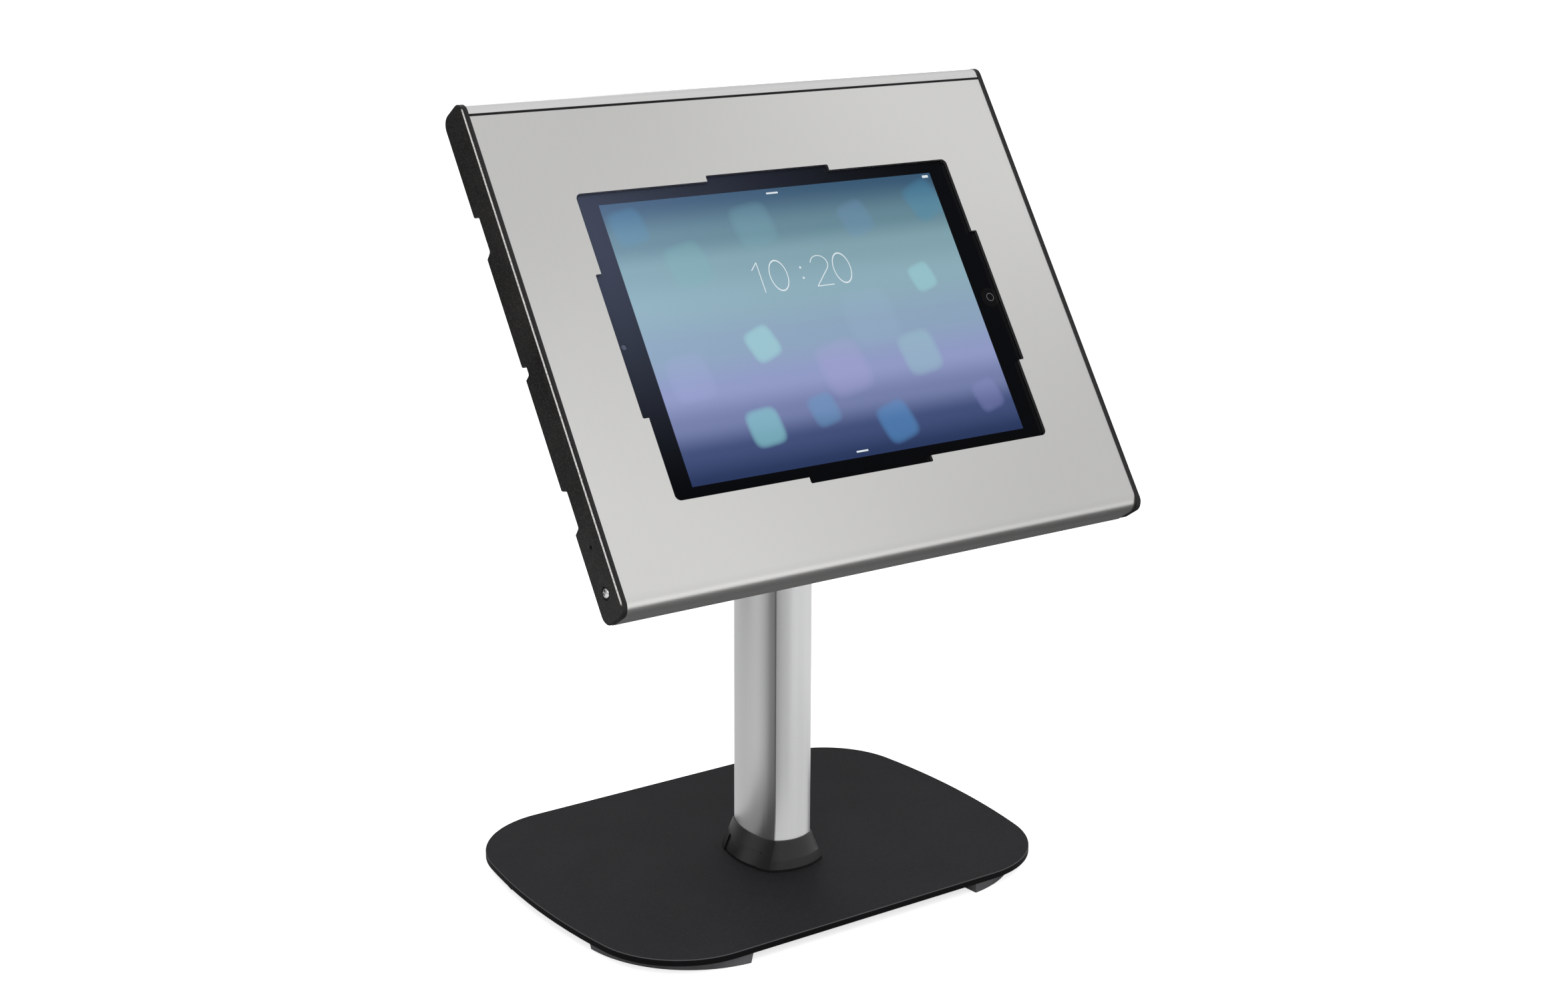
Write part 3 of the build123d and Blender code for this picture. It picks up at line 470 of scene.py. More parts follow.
@dataclass(frozen=True)
class BrushedMetal(Finish):
    """Ground or drawn metal: streaks in the colour, the gloss and the relief.

    A streak's size is given along each axis, of the model or of the head.
    """

    dark: Colour
    light: Colour
    roughness: Span
    streak: Point
    on_head: bool = False
    streak_noise: Span = (0.25, 0.75)
    fine_share: Span = (0.0, 0.6)
    wide_share: Span = (0.0, 0.4)
    wide_times: float = 7.0
    cloud: float = 0.06
    depth: float = 0.00001
    # A painted sheen: the colour paler in two opposite corners of the head and darker in the others
    sheen: float = 0.0
    sheen_share: float = 0.75
    sheen_reach: float = 0.013

    def build(self, name: str) -> bpy.types.Material:
        """Makes the brushed metal.

        Args:
            name: The material's name.

        Returns:
            The material.
        """
        shader = Shader(name)
        mapped = shader.on_head if self.on_head else shader.mapped
        fine = shader.noise(mapped(self.streak), rough=0.6)
        wide = shader.noise(mapped(tuple(self.wide_times * length for length in self.streak)))
        cloud = shader.noise(shader.mapped(self.cloud), detail=1.0)
        small = shader.fit(fine, self.streak_noise, self.fine_share)
        streaks = shader.math("ADD", small, shader.fit(wide, NOISE, self.wide_share))
        spread = shader.math("ADD", shader.fit(cloud, NOISE, self.wide_share), small)
        shader.relief(fine, self.depth, strength=0.35)
        return shader.done(
            Base_Color=self.shaded(shader, shader.mix(streaks, self.dark, self.light)),
            Roughness=shader.fit(spread, UNIT, self.roughness),
            Metallic=1.0,
        )

    def shaded(self, shader: Shader, colour: Socket) -> Socket:
        """Paints a sheen that varies from corner to corner of the head.

        Args:
            shader: The metal's shader.
            colour: The streaked colour.

        Returns:
            The colour with a painted sheen, paler in two opposite corners and darker in the others, if it
            has a sheen.
        """
        if self.sheen == 0.0:
            return colour
        x, y, _ = shader.axes(shader.on_head())
        # Painted sheen across the head's corners
        saddle = shader.math("MULTIPLY", x, y)
        share = shader.fit(saddle, (-self.sheen_reach, self.sheen_reach), UNIT, smooth=True)
        darker = tuple((1.0 - self.sheen) * value for value in self.dark)
        paler = tuple((1.0 + self.sheen) * value for value in self.light)
        return shader.mix(self.sheen_share, colour, shader.mix(share, darker, paler))


@dataclass(frozen=True)
class Moulded(Finish):
    """Moulded plastic, rubber or nylon, with the fine texture of its tool."""

    dark: Colour
    light: Colour
    roughness: Span
    texture: float = 0.0006
    depth: float = 0.00003
    specular: float = 0.5
    bloom: float = 0.02

    def build(self, name: str) -> bpy.types.Material:
        """Makes the moulded finish.

        Args:
            name: The material's name.

        Returns:
            The material.
        """
        shader = Shader(name)
        pebble = shader.noise(shader.mapped(self.texture), rough=0.55)
        bloom = shader.noise(shader.mapped(self.bloom))
        shader.relief(pebble, self.depth, strength=0.5)
        return shader.done(
            Base_Color=shader.mix(shader.fit(bloom, NOISE), self.dark, self.light),
            Roughness=shader.fit(pebble, NOISE, self.roughness),
            Specular_IOR_Level=self.specular,
        )


@dataclass(frozen=True)
class CastMetal(Finish):
    """Cast, plated or turned metal with a faint mottle."""

    dark: Colour
    light: Colour
    roughness: Span
    mottle: float = 0.002
    depth: float = 0.00002
    metallic: float = 1.0

    def build(self, name: str) -> bpy.types.Material:
        """Makes the metal.

        Args:
            name: The material's name.

        Returns:
            The material.
        """
        shader = Shader(name)
        patches = shader.noise(shader.mapped(self.mottle), detail=3.0, rough=0.6)
        shader.relief(patches, self.depth, strength=0.3)
        return shader.done(
            Base_Color=shader.mix(shader.fit(patches, NOISE), self.dark, self.light),
            Roughness=shader.fit(patches, NOISE, self.roughness),
            Metallic=self.metallic,
        )


@dataclass(frozen=True)
class Foam(Finish):
    """Closed-cell foam with an open, pitted skin."""

    dark: Colour
    light: Colour
    cell: float = 0.0007
    cell_reach: Span = (0.0, 0.8)
    pit: float = 0.0002
    roughness: Span = (0.95, 0.8)

    def build(self, name: str) -> bpy.types.Material:
        """Makes the foam.

        Args:
            name: The material's name.

        Returns:
            The material.
        """
        shader = Shader(name)
        cells = shader.add("ShaderNodeTexVoronoi", Scale=1.0, Vector=shader.mapped(self.cell))
        depth = shader.fit(cells.outputs["Distance"], self.cell_reach)
        shader.relief(depth, self.pit, strength=0.6)
        return shader.done(
            Base_Color=shader.mix(depth, self.dark, self.light),
            Roughness=shader.fit(depth, UNIT, self.roughness),
        )


@dataclass(frozen=True)
class SoftTile:
    """One blurred lozenge of the screen's picture, in millimetres from the display's centre."""

    x: float
    y: float
    reach: float
    turn: float
    blur: float
    strength: float
    colour: Colour
    fade: float = 2.5

    def mask(self, shader: Shader, local: Socket) -> Socket:
        """How much of the tile shows at each place.

        Args:
            shader: The glass's shader.
            local: Coordinates from the display's centre, in metres.

        Returns:
            The tile's strength inside, falling to 0 past its blurred edge.
        """
        place = (self.x * MM, self.y * MM, 0.0)
        size = (self.reach * MM, self.reach * MM, 1.0)
        turn = (0.0, 0.0, math.radians(self.turn))
        node = shader.add("ShaderNodeMapping", Location=place, Rotation=turn, Scale=size, Vector=local)
        node.vector_type = "TEXTURE"
        fourth = node.outputs["Vector"]
        for _ in range(2):
            fourth = shader.vector_math("MULTIPLY", fourth, fourth).outputs["Vector"]
        total = shader.vector_math("DOT_PRODUCT", fourth, (1.0, 1.0, 0.0)).outputs["Value"]
        edge = (1.0 - self.blur, 1.0 + self.fade * self.blur)
        return shader.fit(total, edge, (self.strength, 0.0), smooth=True)


@dataclass(frozen=True)
class ScreenGlass(Finish):
    """Cover glass: near black round the lit display, with a painted reflection on its border, bluish at the
    left; the display shows a soft evening gradient.
    """

    centre: Span = (0.0003, 0.0)
    half: Span = (0.10015, 0.0729)
    rim: float = 0.0002
    # Painted reflection: the border is bluish towards the left and the top, fading to near black at the
    # right and bottom
    border_reflection: Colour = (0.05, 0.06, 0.095)
    border_right: Colour = (0.001, 0.0013, 0.0022)
    reflection_x: Span = (-0.108, 0.1)
    reflection_y: Span = (-0.08, 0.062)
    reflection_shares: Span = (1.0, 0.1)
    smear: Point = (0.03, 0.012, 0.03)
    smear_noise: Span = (0.35, 0.7)
    roughness: Span = (0.06, 0.14)
    specular: float = 0.03
    glow: float = 0.96
    bands: tuple[tuple[float, Colour], ...] = (
        (0.0, (0.022, 0.038, 0.112)),
        (0.1, (0.052, 0.078, 0.195)),
        (0.2, (0.18, 0.217, 0.41)),
        (0.31, (0.285, 0.33, 0.57)),
        (0.45, (0.27, 0.38, 0.52)),
        (0.62, (0.27, 0.423, 0.495)),
        (0.75, (0.223, 0.371, 0.423)),
        (0.85, (0.132, 0.245, 0.3)),
        (1.0, (0.038, 0.095, 0.168)),
    )
    tiles: tuple[SoftTile, ...] = (
        SoftTile(-62, 37, 10, 12, 0.75, 0.3, (0.2, 0.46, 0.46)),
        SoftTile(-36, -8, 7.5, 20, 0.75, 0.6, (0.36, 0.68, 0.7)),
        SoftTile(54, -24, 10, 8, 0.7, 0.42, (0.34, 0.58, 0.62)),
        SoftTile(72, 16, 6.5, 16, 0.7, 0.5, (0.34, 0.66, 0.7)),
        SoftTile(-82, -20, 10, 5, 0.9, 0.3, (0.36, 0.4, 0.68)),
        SoftTile(6, -26, 12, 10, 0.85, 0.35, (0.4, 0.38, 0.68)),
        SoftTile(26, -58, 9, 15, 0.7, 0.5, (0.1, 0.3, 0.62)),
        SoftTile(-50, -50, 8.5, 6, 0.65, 0.6, (0.26, 0.6, 0.66)),
        SoftTile(44, 52, 8, 18, 0.9, 0.3, (0.16, 0.3, 0.5)),
        SoftTile(-18, 54, 10, 8, 0.9, 0.25, (0.2, 0.42, 0.48)),
        SoftTile(86, -52, 7, 14, 0.9, 0.35, (0.26, 0.28, 0.58)),
        SoftTile(-88, 60, 8, 10, 0.9, 0.3, (0.08, 0.28, 0.48)),
        SoftTile(90, 58, 9, 22, 0.9, 0.35, (0.07, 0.28, 0.46)),
        SoftTile(32, -2, 13, 3, 0.9, 0.22, (0.32, 0.46, 0.62)),
        SoftTile(-14, -46, 7, 12, 0.85, 0.4, (0.14, 0.36, 0.62)),
    )

    def build(self, name: str) -> bpy.types.Material:
        """Makes the glass.

        Args:
            name: The material's name.

        Returns:
            The material.
        """
        shader = Shader(name)
        middle = head_matrix() @ Vector((*self.centre, 0.0))
        local = shader.on_head(1.0, tuple(middle))
        x, y, _ = shader.axes(local)
        # Painted reflection on the glass's border
        side = shader.fit(x, self.reflection_x, self.reflection_shares)
        rise = shader.fit(y, self.reflection_y, UNIT, smooth=True)
        share = shader.math("MULTIPLY", shader.math("MULTIPLY", side, side), rise)
        smears = shader.noise(shader.on_head(self.smear), detail=3.0)
        return shader.done(
            Base_Color=shader.mix(share, self.border_right, self.border_reflection),
            Roughness=shader.fit(smears, self.smear_noise, self.roughness),
            IOR=1.5,
            Specular_IOR_Level=self.specular,
            Emission_Color=self.picture(shader, local),
            Emission_Strength=self.glow,
        )

    def picture(self, shader: Shader, local: Socket) -> Socket:
        """The lit picture inside the display's edges.

        Args:
            shader: The glass's shader.
            local: Coordinates from the display's centre, in metres.

        Returns:
            The picture's colour, black outside.
        """
        x, y, _ = shader.axes(local)
        colour = shader.ramp(shader.fit(y, (-self.half[1], self.half[1])), self.bands)
        for tile in self.tiles:
            colour = shader.mix(tile.mask(shader, local), colour, tile.colour)
        inside = (
            shader.fit(shader.math("ABSOLUTE", axis), (half, half + self.rim), FALLING)
            for axis, half in zip((x, y), self.half)
        )
        return shader.mix(shader.math("MULTIPLY", *inside), BLACK, colour)


@dataclass(frozen=True)
class Marking(Finish):
    """Pale light of the figures and small marks on the screen."""

    colour: Colour = (0.8, 0.88, 0.92)
    unlit: Colour = grey(0.02)
    dimmed: float = 0.9
    waver: float = 0.004
    roughness: float = 0.4
    glow: float = 0.9

    def build(self, name: str) -> bpy.types.Material:
        """Makes the marking.

        Args:
            name: The material's name.

        Returns:
            The material.
        """
        shader = Shader(name)
        waver = shader.noise(shader.mapped(self.waver), detail=1.0)
        dim = tuple(self.dimmed * value for value in self.colour)
        return shader.done(
            Base_Color=(*self.unlit, 1.0),
            Roughness=self.roughness,
            Emission_Color=shader.mix(waver, dim, self.colour),
            Emission_Strength=self.glow,
        )


# Each finish has its darkest colour, its palest colour and the span of its roughness
BASE_BLACK = PlateCoat(
    "powder_black", (0.0165, 0.0167, 0.0181), (0.046, 0.0465, 0.049), (0.5, 0.65),
    depth=0.00005, specks=0.5, specular=0.03,
)
SIDE_BLACK = EdgeHighlightCoat(
    "side_black", (0.0025, 0.0025, 0.0024), (0.12, 0.116, 0.11), (0.36, 0.48),
    depth=0.0001, specks=0.28, specular=0.12,
)
LINER_BLACK = Moulded("liner_black", grey(0.006), grey(0.012), (0.5, 0.65), depth=0.00004, specular=0.3)
RUBBER = Moulded(
    "foot_rubber", (0.1, 0.1, 0.105), (0.14, 0.14, 0.147), (0.75, 0.9),
    texture=0.0005, depth=0.00005, specular=0.2,
)
COLLAR_BLACK = Moulded(
    "collar_black", (0.006, 0.0062, 0.0066), (0.011, 0.0112, 0.0118), (0.3, 0.42),
    texture=0.0005, depth=0.00002,
)
GASKET = Moulded("gasket_black", grey(0.004), grey(0.007), (0.7, 0.85), texture=0.0005, specular=0.2)
CELL = Moulded("cell_black", (0.01, 0.01, 0.012), (0.02, 0.02, 0.022), (0.5, 0.6))
NYLON = Moulded("bearing_nylon", (0.5, 0.49, 0.46), (0.56, 0.55, 0.52), (0.45, 0.6))
LENS = Moulded(
    "lens_glass", (0.02, 0.03, 0.07), (0.05, 0.07, 0.13), (0.06, 0.1),
    texture=0.0009, depth=0.000004, specular=0.8,
)
BUTTON_BLACK = Moulded(
    "button_black", (0.001, 0.001, 0.0014), (0.002, 0.002, 0.0026), (0.18, 0.28),
    depth=0.000006, specular=0.06,
)
RING = Moulded("ring_grey", (0.11, 0.11, 0.12), (0.15, 0.15, 0.16), (0.4, 0.5), depth=0.000004)
FOAM = Foam("foam_black", grey(0.01), grey(0.03))
ZINC = CastMetal("zinc_steel", (0.42, 0.42, 0.4), (0.55, 0.55, 0.53), (0.32, 0.45))
CAST = CastMetal(
    "cast_grey", (0.18, 0.185, 0.19), (0.24, 0.245, 0.25), (0.5, 0.62),
    mottle=0.0011, depth=0.00008, metallic=0.6,
)
BRIGHT = CastMetal("bright_steel", grey(0.6), grey(0.7), (0.16, 0.24), mottle=0.0012, depth=0.000005)
TABLET_SHELL = CastMetal("tablet_shell", (0.35, 0.35, 0.36), (0.4, 0.4, 0.41), (0.4, 0.5), mottle=0.0006)
COLUMN_SILVER = BrushedMetal(
    "anodised_silver", (0.6, 0.605, 0.605), (0.65, 0.655, 0.655), (0.3, 0.37),
    streak=(0.0007, 0.0007, 0.2), depth=0.000002,
)
PROFILE_SILVER = BrushedMetal(
    "profile_silver", (0.72, 0.72, 0.715), (0.8, 0.8, 0.795), (0.26, 0.34),
    streak=(0.12, 0.0004, 0.0004),
)
# The panel's colour carries a painted sheen
PANEL_SILVER = BrushedMetal(
    "panel_silver", (0.68, 0.677, 0.665), (0.715, 0.712, 0.7), (0.3, 0.36),
    streak=(0.0003, 0.012, 0.0003), on_head=True, depth=0.000002, sheen=0.1,
)
BACK_SILVER = BrushedMetal(
    "back_silver", grey(0.4), grey(0.48), (0.42, 0.55), streak=(0.0006, 0.02, 0.0006), on_head=True
)
SCREEN = ScreenGlass("cover_glass")
DISPLAY = ScreenGlass("display_panel")
FIGURES = Marking("screen_marking")


class Piece:
    """A new mesh piece, built in a bmesh and handed over as one object at the origin."""

    def __init__(self, name: str) -> None:
        """Starts an empty shape for the named piece."""
        self.name = name
        self.shape = bmesh.new()

    def strip(self, start: Span, end: Span, width: float) -> None:
        """Adds a flat straight stroke in the plane of x and y.

        Args:
            start: Its first end.
            end: Its last end.
            width: Its width.
        """
        first, last = Vector((*start, 0.0)), Vector((*end, 0.0))
        run = last - first
        made = bmesh.ops.create_grid(self.shape, x_segments=1, y_segments=1, size=0.5)["verts"]
        bmesh.ops.scale(self.shape, vec=(run.length, width, 1.0), verts=made)
        turn = Matrix.Rotation(math.atan2(run.y, run.x), 3, "Z")
        bmesh.ops.rotate(self.shape, cent=ORIGIN, matrix=turn, verts=made)
        bmesh.ops.translate(self.shape, vec=(first + last) / 2, verts=made)

    def arc(self, centre: Span, radii: Span, width: float, span: Span = FULL_TURN) -> None:
        """Adds a flat curved stroke, a whole oval or part of one, in the plane of x and y.

        Args:
            centre: The oval's centre.
            radii: Its half width and half height.
            width: The stroke's width.
            span: First and last angle, in degrees from +x.
        """
        start, turn = math.radians(span[0]), math.radians(span[1] - span[0])
        half = width / (2 * radii[0])
        ends = [self.shape.verts.new((1.0 + side * half, 0.0, 0.0)) for side in (-1.0, 1.0)]
        edge = self.shape.edges.new(ends)
        bmesh.ops.rotate(self.shape, cent=ORIGIN, matrix=Matrix.Rotation(start, 3, "Z"), verts=ends)
        before = set(self.shape.verts) - set(ends)
        self.spin([*ends, edge], turn)
        made = [vert for vert in self.shape.verts if vert not in before]
        bmesh.ops.scale(self.shape, vec=(*radii, 1.0), verts=made)
        bmesh.ops.translate(self.shape, vec=(*centre, 0.0), verts=made)

    def lathe(self, profile: list[Span]) -> None:
        """Turns a profile about z.

        Args:
            profile: Radius and height of each point, from the axis outwards.
        """
        points = [self.shape.verts.new((radius, 0.0, height)) for radius, height in profile]
        edges = [self.shape.edges.new(pair) for pair in zip(points, points[1:])]
        self.spin(points + edges, math.tau)

    def spin(self, geometry: Geometry, angle: float) -> None:
        """Sweeps points and edges round z.

        Args:
            geometry: What is swept.
            angle: How far, in radians. A whole turn is closed.
        """
        bmesh.ops.spin(
            self.shape,
            geom=geometry,
            cent=ORIGIN,
            axis=UP,
            angle=angle,
            steps=ROUND_STEPS,
            use_merge=math.isclose(abs(angle), math.tau),
        )

    def raise_by(self, height: float) -> None:
        """Gives flat faces a height.

        Args:
            height: The height, in metres.
        """
        made = bmesh.ops.extrude_face_region(self.shape, geom=self.shape.faces[:])
        moved = [item for item in made["geom"] if isinstance(item, bmesh.types.BMVert)]
        bmesh.ops.translate(self.shape, vec=(0.0, 0.0, height), verts=moved)

    def soften(self, geometry: Geometry, offset: float, segments: int, affect: str) -> None:
        """Rounds corners or edges off.

        Args:
            geometry: The corners or edges.
            offset: The width of the rounding.
            segments: Its facets.
            affect: VERTICES or EDGES.
        """
        bmesh.ops.bevel(
            self.shape,
            geom=geometry,
            offset=offset,
            offset_type="OFFSET",
            segments=segments,
            profile=0.5,
            affect=affect,
            material=-1,
        )

    def to_head(self, place: Point, turn: Matrix | None = None) -> None:
        """Turns the whole shape if asked, and moves it to its place in head coordinates."""
        matrix = head_matrix() @ Matrix.Translation(place) @ (turn or Matrix())
        bmesh.ops.transform(self.shape, matrix=matrix, verts=self.shape.verts)

    def finish(self, finish: Finish, body: Body, slot: str, smooth: bool = False) -> bpy.types.Object:
        """Makes the object, dresses it and sets it on its body.

        Args:
            finish: Its finish.
            body: The body that it rides on.
            slot: A material slot's name; not used.
            smooth: Shades it smooth.

        Returns:
            The new object.
        """
        bmesh.ops.remove_doubles(self.shape, verts=self.shape.verts, dist=MERGE_REACH)
        bmesh.ops.recalc_face_normals(self.shape, faces=self.shape.faces)
        mesh = mesh_of(self.name, self.shape)
        for face in mesh.polygons:
            face.use_smooth = smooth
        if smooth:
            mesh.set_sharp_from_angle(angle=SHARP_ANGLE)
        piece = set_out(self.name, mesh)
        finish.dress(piece)
        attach(piece, body.value)
        LOG.info("%s: %d faces on %s", self.name, len(mesh.polygons), body.value)
        return piece


@dataclass
class Assembly:
    """A sub-assembly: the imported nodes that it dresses."""

    nodes: dict[str, bpy.types.Object]

    def dress(self, finish: Finish, *names: str) -> None:
        """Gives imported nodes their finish.

        Args:
            finish: The finish.
            names: The nodes.
        """
        for name in names:
            finish.dress(self.nodes[name])
            LOG.info("%s: dressed in %s", name, finish.name)


@dataclass
class Stand(Assembly):
    """Base plate, feet, column, collar, the hinge fork and its pivot."""

    def build(self) -> None:
        """Dresses the stand."""
        self.dress(BASE_BLACK, "base_plate")
        self.dress(RUBBER, "foot_front_left", "foot_front_right", "foot_rear_left", "foot_rear_right")
        self.dress(COLUMN_SILVER, "column")
        self.dress(COLLAR_BLACK, "column_collar", "cable_outlet_cover")
        self.dress(CAST, "hinge_fork")
        self.dress(ZINC, "anchor_plate", "base_screws", "fork_screws")
        self.dress(ZINC, "pivot_bolt", "pivot_washers", "pivot_nut")


@dataclass
class TiltKnuckle(Assembly):
    """The knuckle between the fork and the housing."""

    def build(self) -> None:
        """Dresses the knuckle."""
        self.dress(CAST, "tilt_knuckle")
        self.dress(NYLON, "pivot_bushes", "turn_pad")
        self.dress(ZINC, "turn_bolt", "turn_washer")


@dataclass
class Housing(Assembly):
    """The locked shell with its side plates, screws, seam and the way for the cable."""

    screw_place: Point = (0.15615, -0.11275, 0.0384)
    dome_radius: float = 0.0026
    dome_height: float = 0.0015
    dome_skirt: float = 0.0002
    dome_rings: int = 9
    recess_radius: float = 0.00105
    recess_floor: float = 0.000375
    pin_radius: float = 0.00035
    pin_bevel: float = 0.0001
    pin_shoulder: float = 0.00063
    pin_height: float = 0.000735
    slot_x: float = 0.139
    slot_half: Span = (0.007, 0.022)
    slot_radius: float = 0.003
    grommet_lip: float = 0.0025
    grommet_wall: float = 0.0008
    grommet_rise: float = 0.0009
    grommet_rounding: float = 0.0003
    panel_half: float = 0.1537
    # The seam's lip is wider than the gasket, as painted shade along both edges of the seam
    seam_up: float = 0.12425
    seam_lip_and_shade_width: float = 0.0013
    seam_lip_and_shade_rise: float = 0.00005

    def build(self) -> None:
        """Dresses the shell and adds the screws' domes, the grommet and the seam's lip, which also stands
        in for shade.
        """
        self.dress(CAST, "hub_carrier")
        self.dress(BACK_SILVER, "back_plate")
        self.dress(PANEL_SILVER, "front_panel")
        self.dress(PROFILE_SILVER, "top_profile")
        self.dress(GASKET, "seam_gasket")
        self.dress(SIDE_BLACK, "side_plate_left", "side_plate_right")
        self.dress(LINER_BLACK, "side_liner_left", "side_liner_right")
        self.dress(BRIGHT, "security_screws")
        self.dress(ZINC, "hub_screws", "corner_brackets", "tablet_tray", "tray_posts", "tray_screws")
        self.dress(FOAM, "edge_pads", "back_pads")
        for side, sign in (("left", -1.0), ("right", 1.0)):
            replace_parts(self.dome(side, sign), "security_screws")
        self.grommet()
        self.seam_lip_and_shade()

    def dome(self, side: str, sign: float) -> bpy.types.Object:
        """A domed screw head with a round recess and a pin in it.

        Args:
            side: left or right.
            sign: -1 on the left and 1 on the right.

        Returns:
            The screw.
        """
        piece = Piece("security_screw_" + side)
        profile = [
            (0.0, self.recess_floor + self.pin_height),
            (self.pin_radius - self.pin_bevel, self.recess_floor + self.pin_height),
            (self.pin_radius, self.recess_floor + self.pin_shoulder),
            (self.pin_radius, self.recess_floor),
            (self.recess_radius, self.recess_floor),
        ]
        steepest = math.acos(self.recess_radius / self.dome_radius)
        for ring in range(self.dome_rings + 1):
            angle = steepest * (1.0 - ring / self.dome_rings)
            profile.append((self.dome_radius * math.cos(angle), self.dome_height * math.sin(angle)))
        profile.append((self.dome_radius, -self.dome_skirt))
        piece.lathe(profile)
        out, up, front = self.screw_place
        piece.to_head((sign * out, up, front), Matrix.Rotation(math.radians(90.0) * sign, 4, "Y"))
        return piece.finish(BRIGHT, Body.HOUSING, "bright_steel", smooth=True)

    def seam_lip_and_shade(self) -> None:
        """The flat black lip of the gasket, which laps both edges of the seam: partly a gasket lip, partly
        painted shade widening the seam's dark line.
        """
        piece = Piece("seam_lip_and_shade")
        piece.strip((-self.panel_half, 0.0), (self.panel_half, 0.0), self.seam_lip_and_shade_width)
        piece.raise_by(self.seam_lip_and_shade_rise)
        piece.to_head((0.0, self.seam_up, PANEL_FRONT))
        piece.finish(GASKET, Body.HOUSING, "gasket_black")

    def grommet(self) -> None:
        """The rubber edge round the cable slot in the back plate."""
        piece = Piece("cable_grommet")
        shape = piece.shape
        lip = self.grommet_lip
        corners = bmesh.ops.create_grid(shape, x_segments=1, y_segments=1, size=1.0)["verts"]
        half_x, half_y = (half + lip for half in self.slot_half)
        bmesh.ops.scale(shape, vec=(half_x, half_y, 1.0), verts=corners)
        piece.soften(corners, self.slot_radius + lip, segments=6, affect="VERTICES")
        ring = bmesh.ops.inset_region(
            shape,
            faces=shape.faces[:],
            thickness=lip + self.grommet_wall,
            depth=0.0,
            use_boundary=True,
            use_even_offset=True,
        )["faces"]
        inner = [face for face in shape.faces if face not in ring]
        bmesh.ops.delete(shape, geom=inner, context="FACES")
        piece.raise_by(-self.grommet_rise)
        bmesh.ops.recalc_face_normals(shape, faces=shape.faces)
        rim = [edge for edge in shape.edges if edge.is_manifold and edge.calc_face_angle(0.0) > RIM_ANGLE]
        piece.soften(rim, self.grommet_rounding, segments=2, affect="EDGES")
        piece.to_head((self.slot_x, 0.0, PLATE_BACK))
        piece.finish(GASKET, Body.HOUSING, "gasket_black", smooth=True)


@dataclass
class Tablet(Assembly):
    """The tablet behind the window, with the figures on its lit screen."""

    stroke: float = 0.00045
    figure_height: float = 0.0163
    figure_width: float = 0.0102
    figure_pitch: float = 0.01071
    figure_places: tuple[float, ...] = (-2.3, -1.3, 1.1, 2.3)
    figures_x: float = 0.0008
    figures_y: float = 0.0262
    one_flag: float = 0.004
    two_bowl: float = 0.28
    two_span: Span = (165.0, -38.0)
    dot_level: float = 0.35
    dot_radius: float = 0.00035
    dot_stroke: float = 0.0005
    bar_x: float = -0.0004
    bar_levels: Span = (0.0705, -0.07)
    bar_half: float = 0.0035
    bar_width: float = 0.0009
    corner_bar_x: Span = (0.095, 0.0988)
    corner_bar_y: float = 0.0711
    corner_bar_width: float = 0.0014
    ring_place: Span = (0.110275, 0.0)
    ring_radius: float = 0.0021
    ring_width: float = 0.0003
    mark_rise: float = 0.00002

    def build(self) -> None:
        """Dresses the tablet and lights its screen."""
        self.dress(TABLET_SHELL, "tablet_body")
        self.dress(CELL, "tablet_battery")
        self.dress(DISPLAY, "tablet_display")
        self.dress(SCREEN, "tablet_glass")
        self.dress(LENS, "camera_lens")
        self.dress(ZINC, "home_switch")
        self.dress(BUTTON_BLACK, "home_button")
        self.clock()
        self.marks()
        self.button_ring()

    def clock(self) -> None:
        """Thin figures of a clock: one, zero, two, zero."""
        piece = Piece("screen_figures")
        half = self.figure_height / 2
        wide = self.figure_width / 2
        low, high = self.figures_y - half, self.figures_y + half
        one, first_zero, two, last_zero = (
            self.figures_x + place * self.figure_pitch for place in self.figure_places
        )
        piece.strip((one, low), (one, high), self.stroke)
        piece.strip((one, high), (one - self.one_flag, high - self.one_flag), self.stroke)
        piece.arc((first_zero, self.figures_y), (wide, half), self.stroke)
        for level in (-self.dot_level, self.dot_level):
            spot = (self.figures_x, self.figures_y + level * half)
            piece.arc(spot, (self.dot_radius, self.dot_radius), self.dot_stroke)
        bowl = self.figure_height * self.two_bowl
        piece.arc((two, high - bowl), (wide, bowl), self.stroke, self.two_span)
        bend = math.radians(self.two_span[1])
        tail = (two + wide * math.cos(bend), high - bowl + bowl * math.sin(bend))
        piece.strip(tail, (two - wide, low), self.stroke)
        piece.strip((two - wide, low), (two + wide, low), self.stroke)
        piece.arc((last_zero, self.figures_y), (wide, half), self.stroke)
        self.print_on(piece, GLASS_FRONT).finish(FIGURES, Body.HOUSING, "display_panel")

    def marks(self) -> None:
        """Small plain bars at the display's upper and lower edge."""
        piece = Piece("screen_marks")
        left, right = self.bar_x - self.bar_half, self.bar_x + self.bar_half
        for level in self.bar_levels:
            piece.strip((left, level), (right, level), self.bar_width)
        left, right = self.corner_bar_x
        piece.strip((left, self.corner_bar_y), (right, self.corner_bar_y), self.corner_bar_width)
        self.print_on(piece, GLASS_FRONT).finish(FIGURES, Body.HOUSING, "display_panel")

    def button_ring(self) -> None:
        """A thin plain ring printed on the button."""
        piece = Piece("button_ring")
        piece.arc(self.ring_place, (self.ring_radius, self.ring_radius), self.ring_width)
        self.print_on(piece, BUTTON_FRONT).finish(RING, Body.BUTTON, "button_black")

    def print_on(self, piece: Piece, front: float) -> Piece:
        """Lays flat strokes on a face of the head.

        Args:
            piece: The strokes.
            front: How far the face stands before the tilt axis.

        Returns:
            The same piece.
        """
        piece.raise_by(self.mark_rise)
        piece.to_head((0.0, 0.0, front))
        return piece


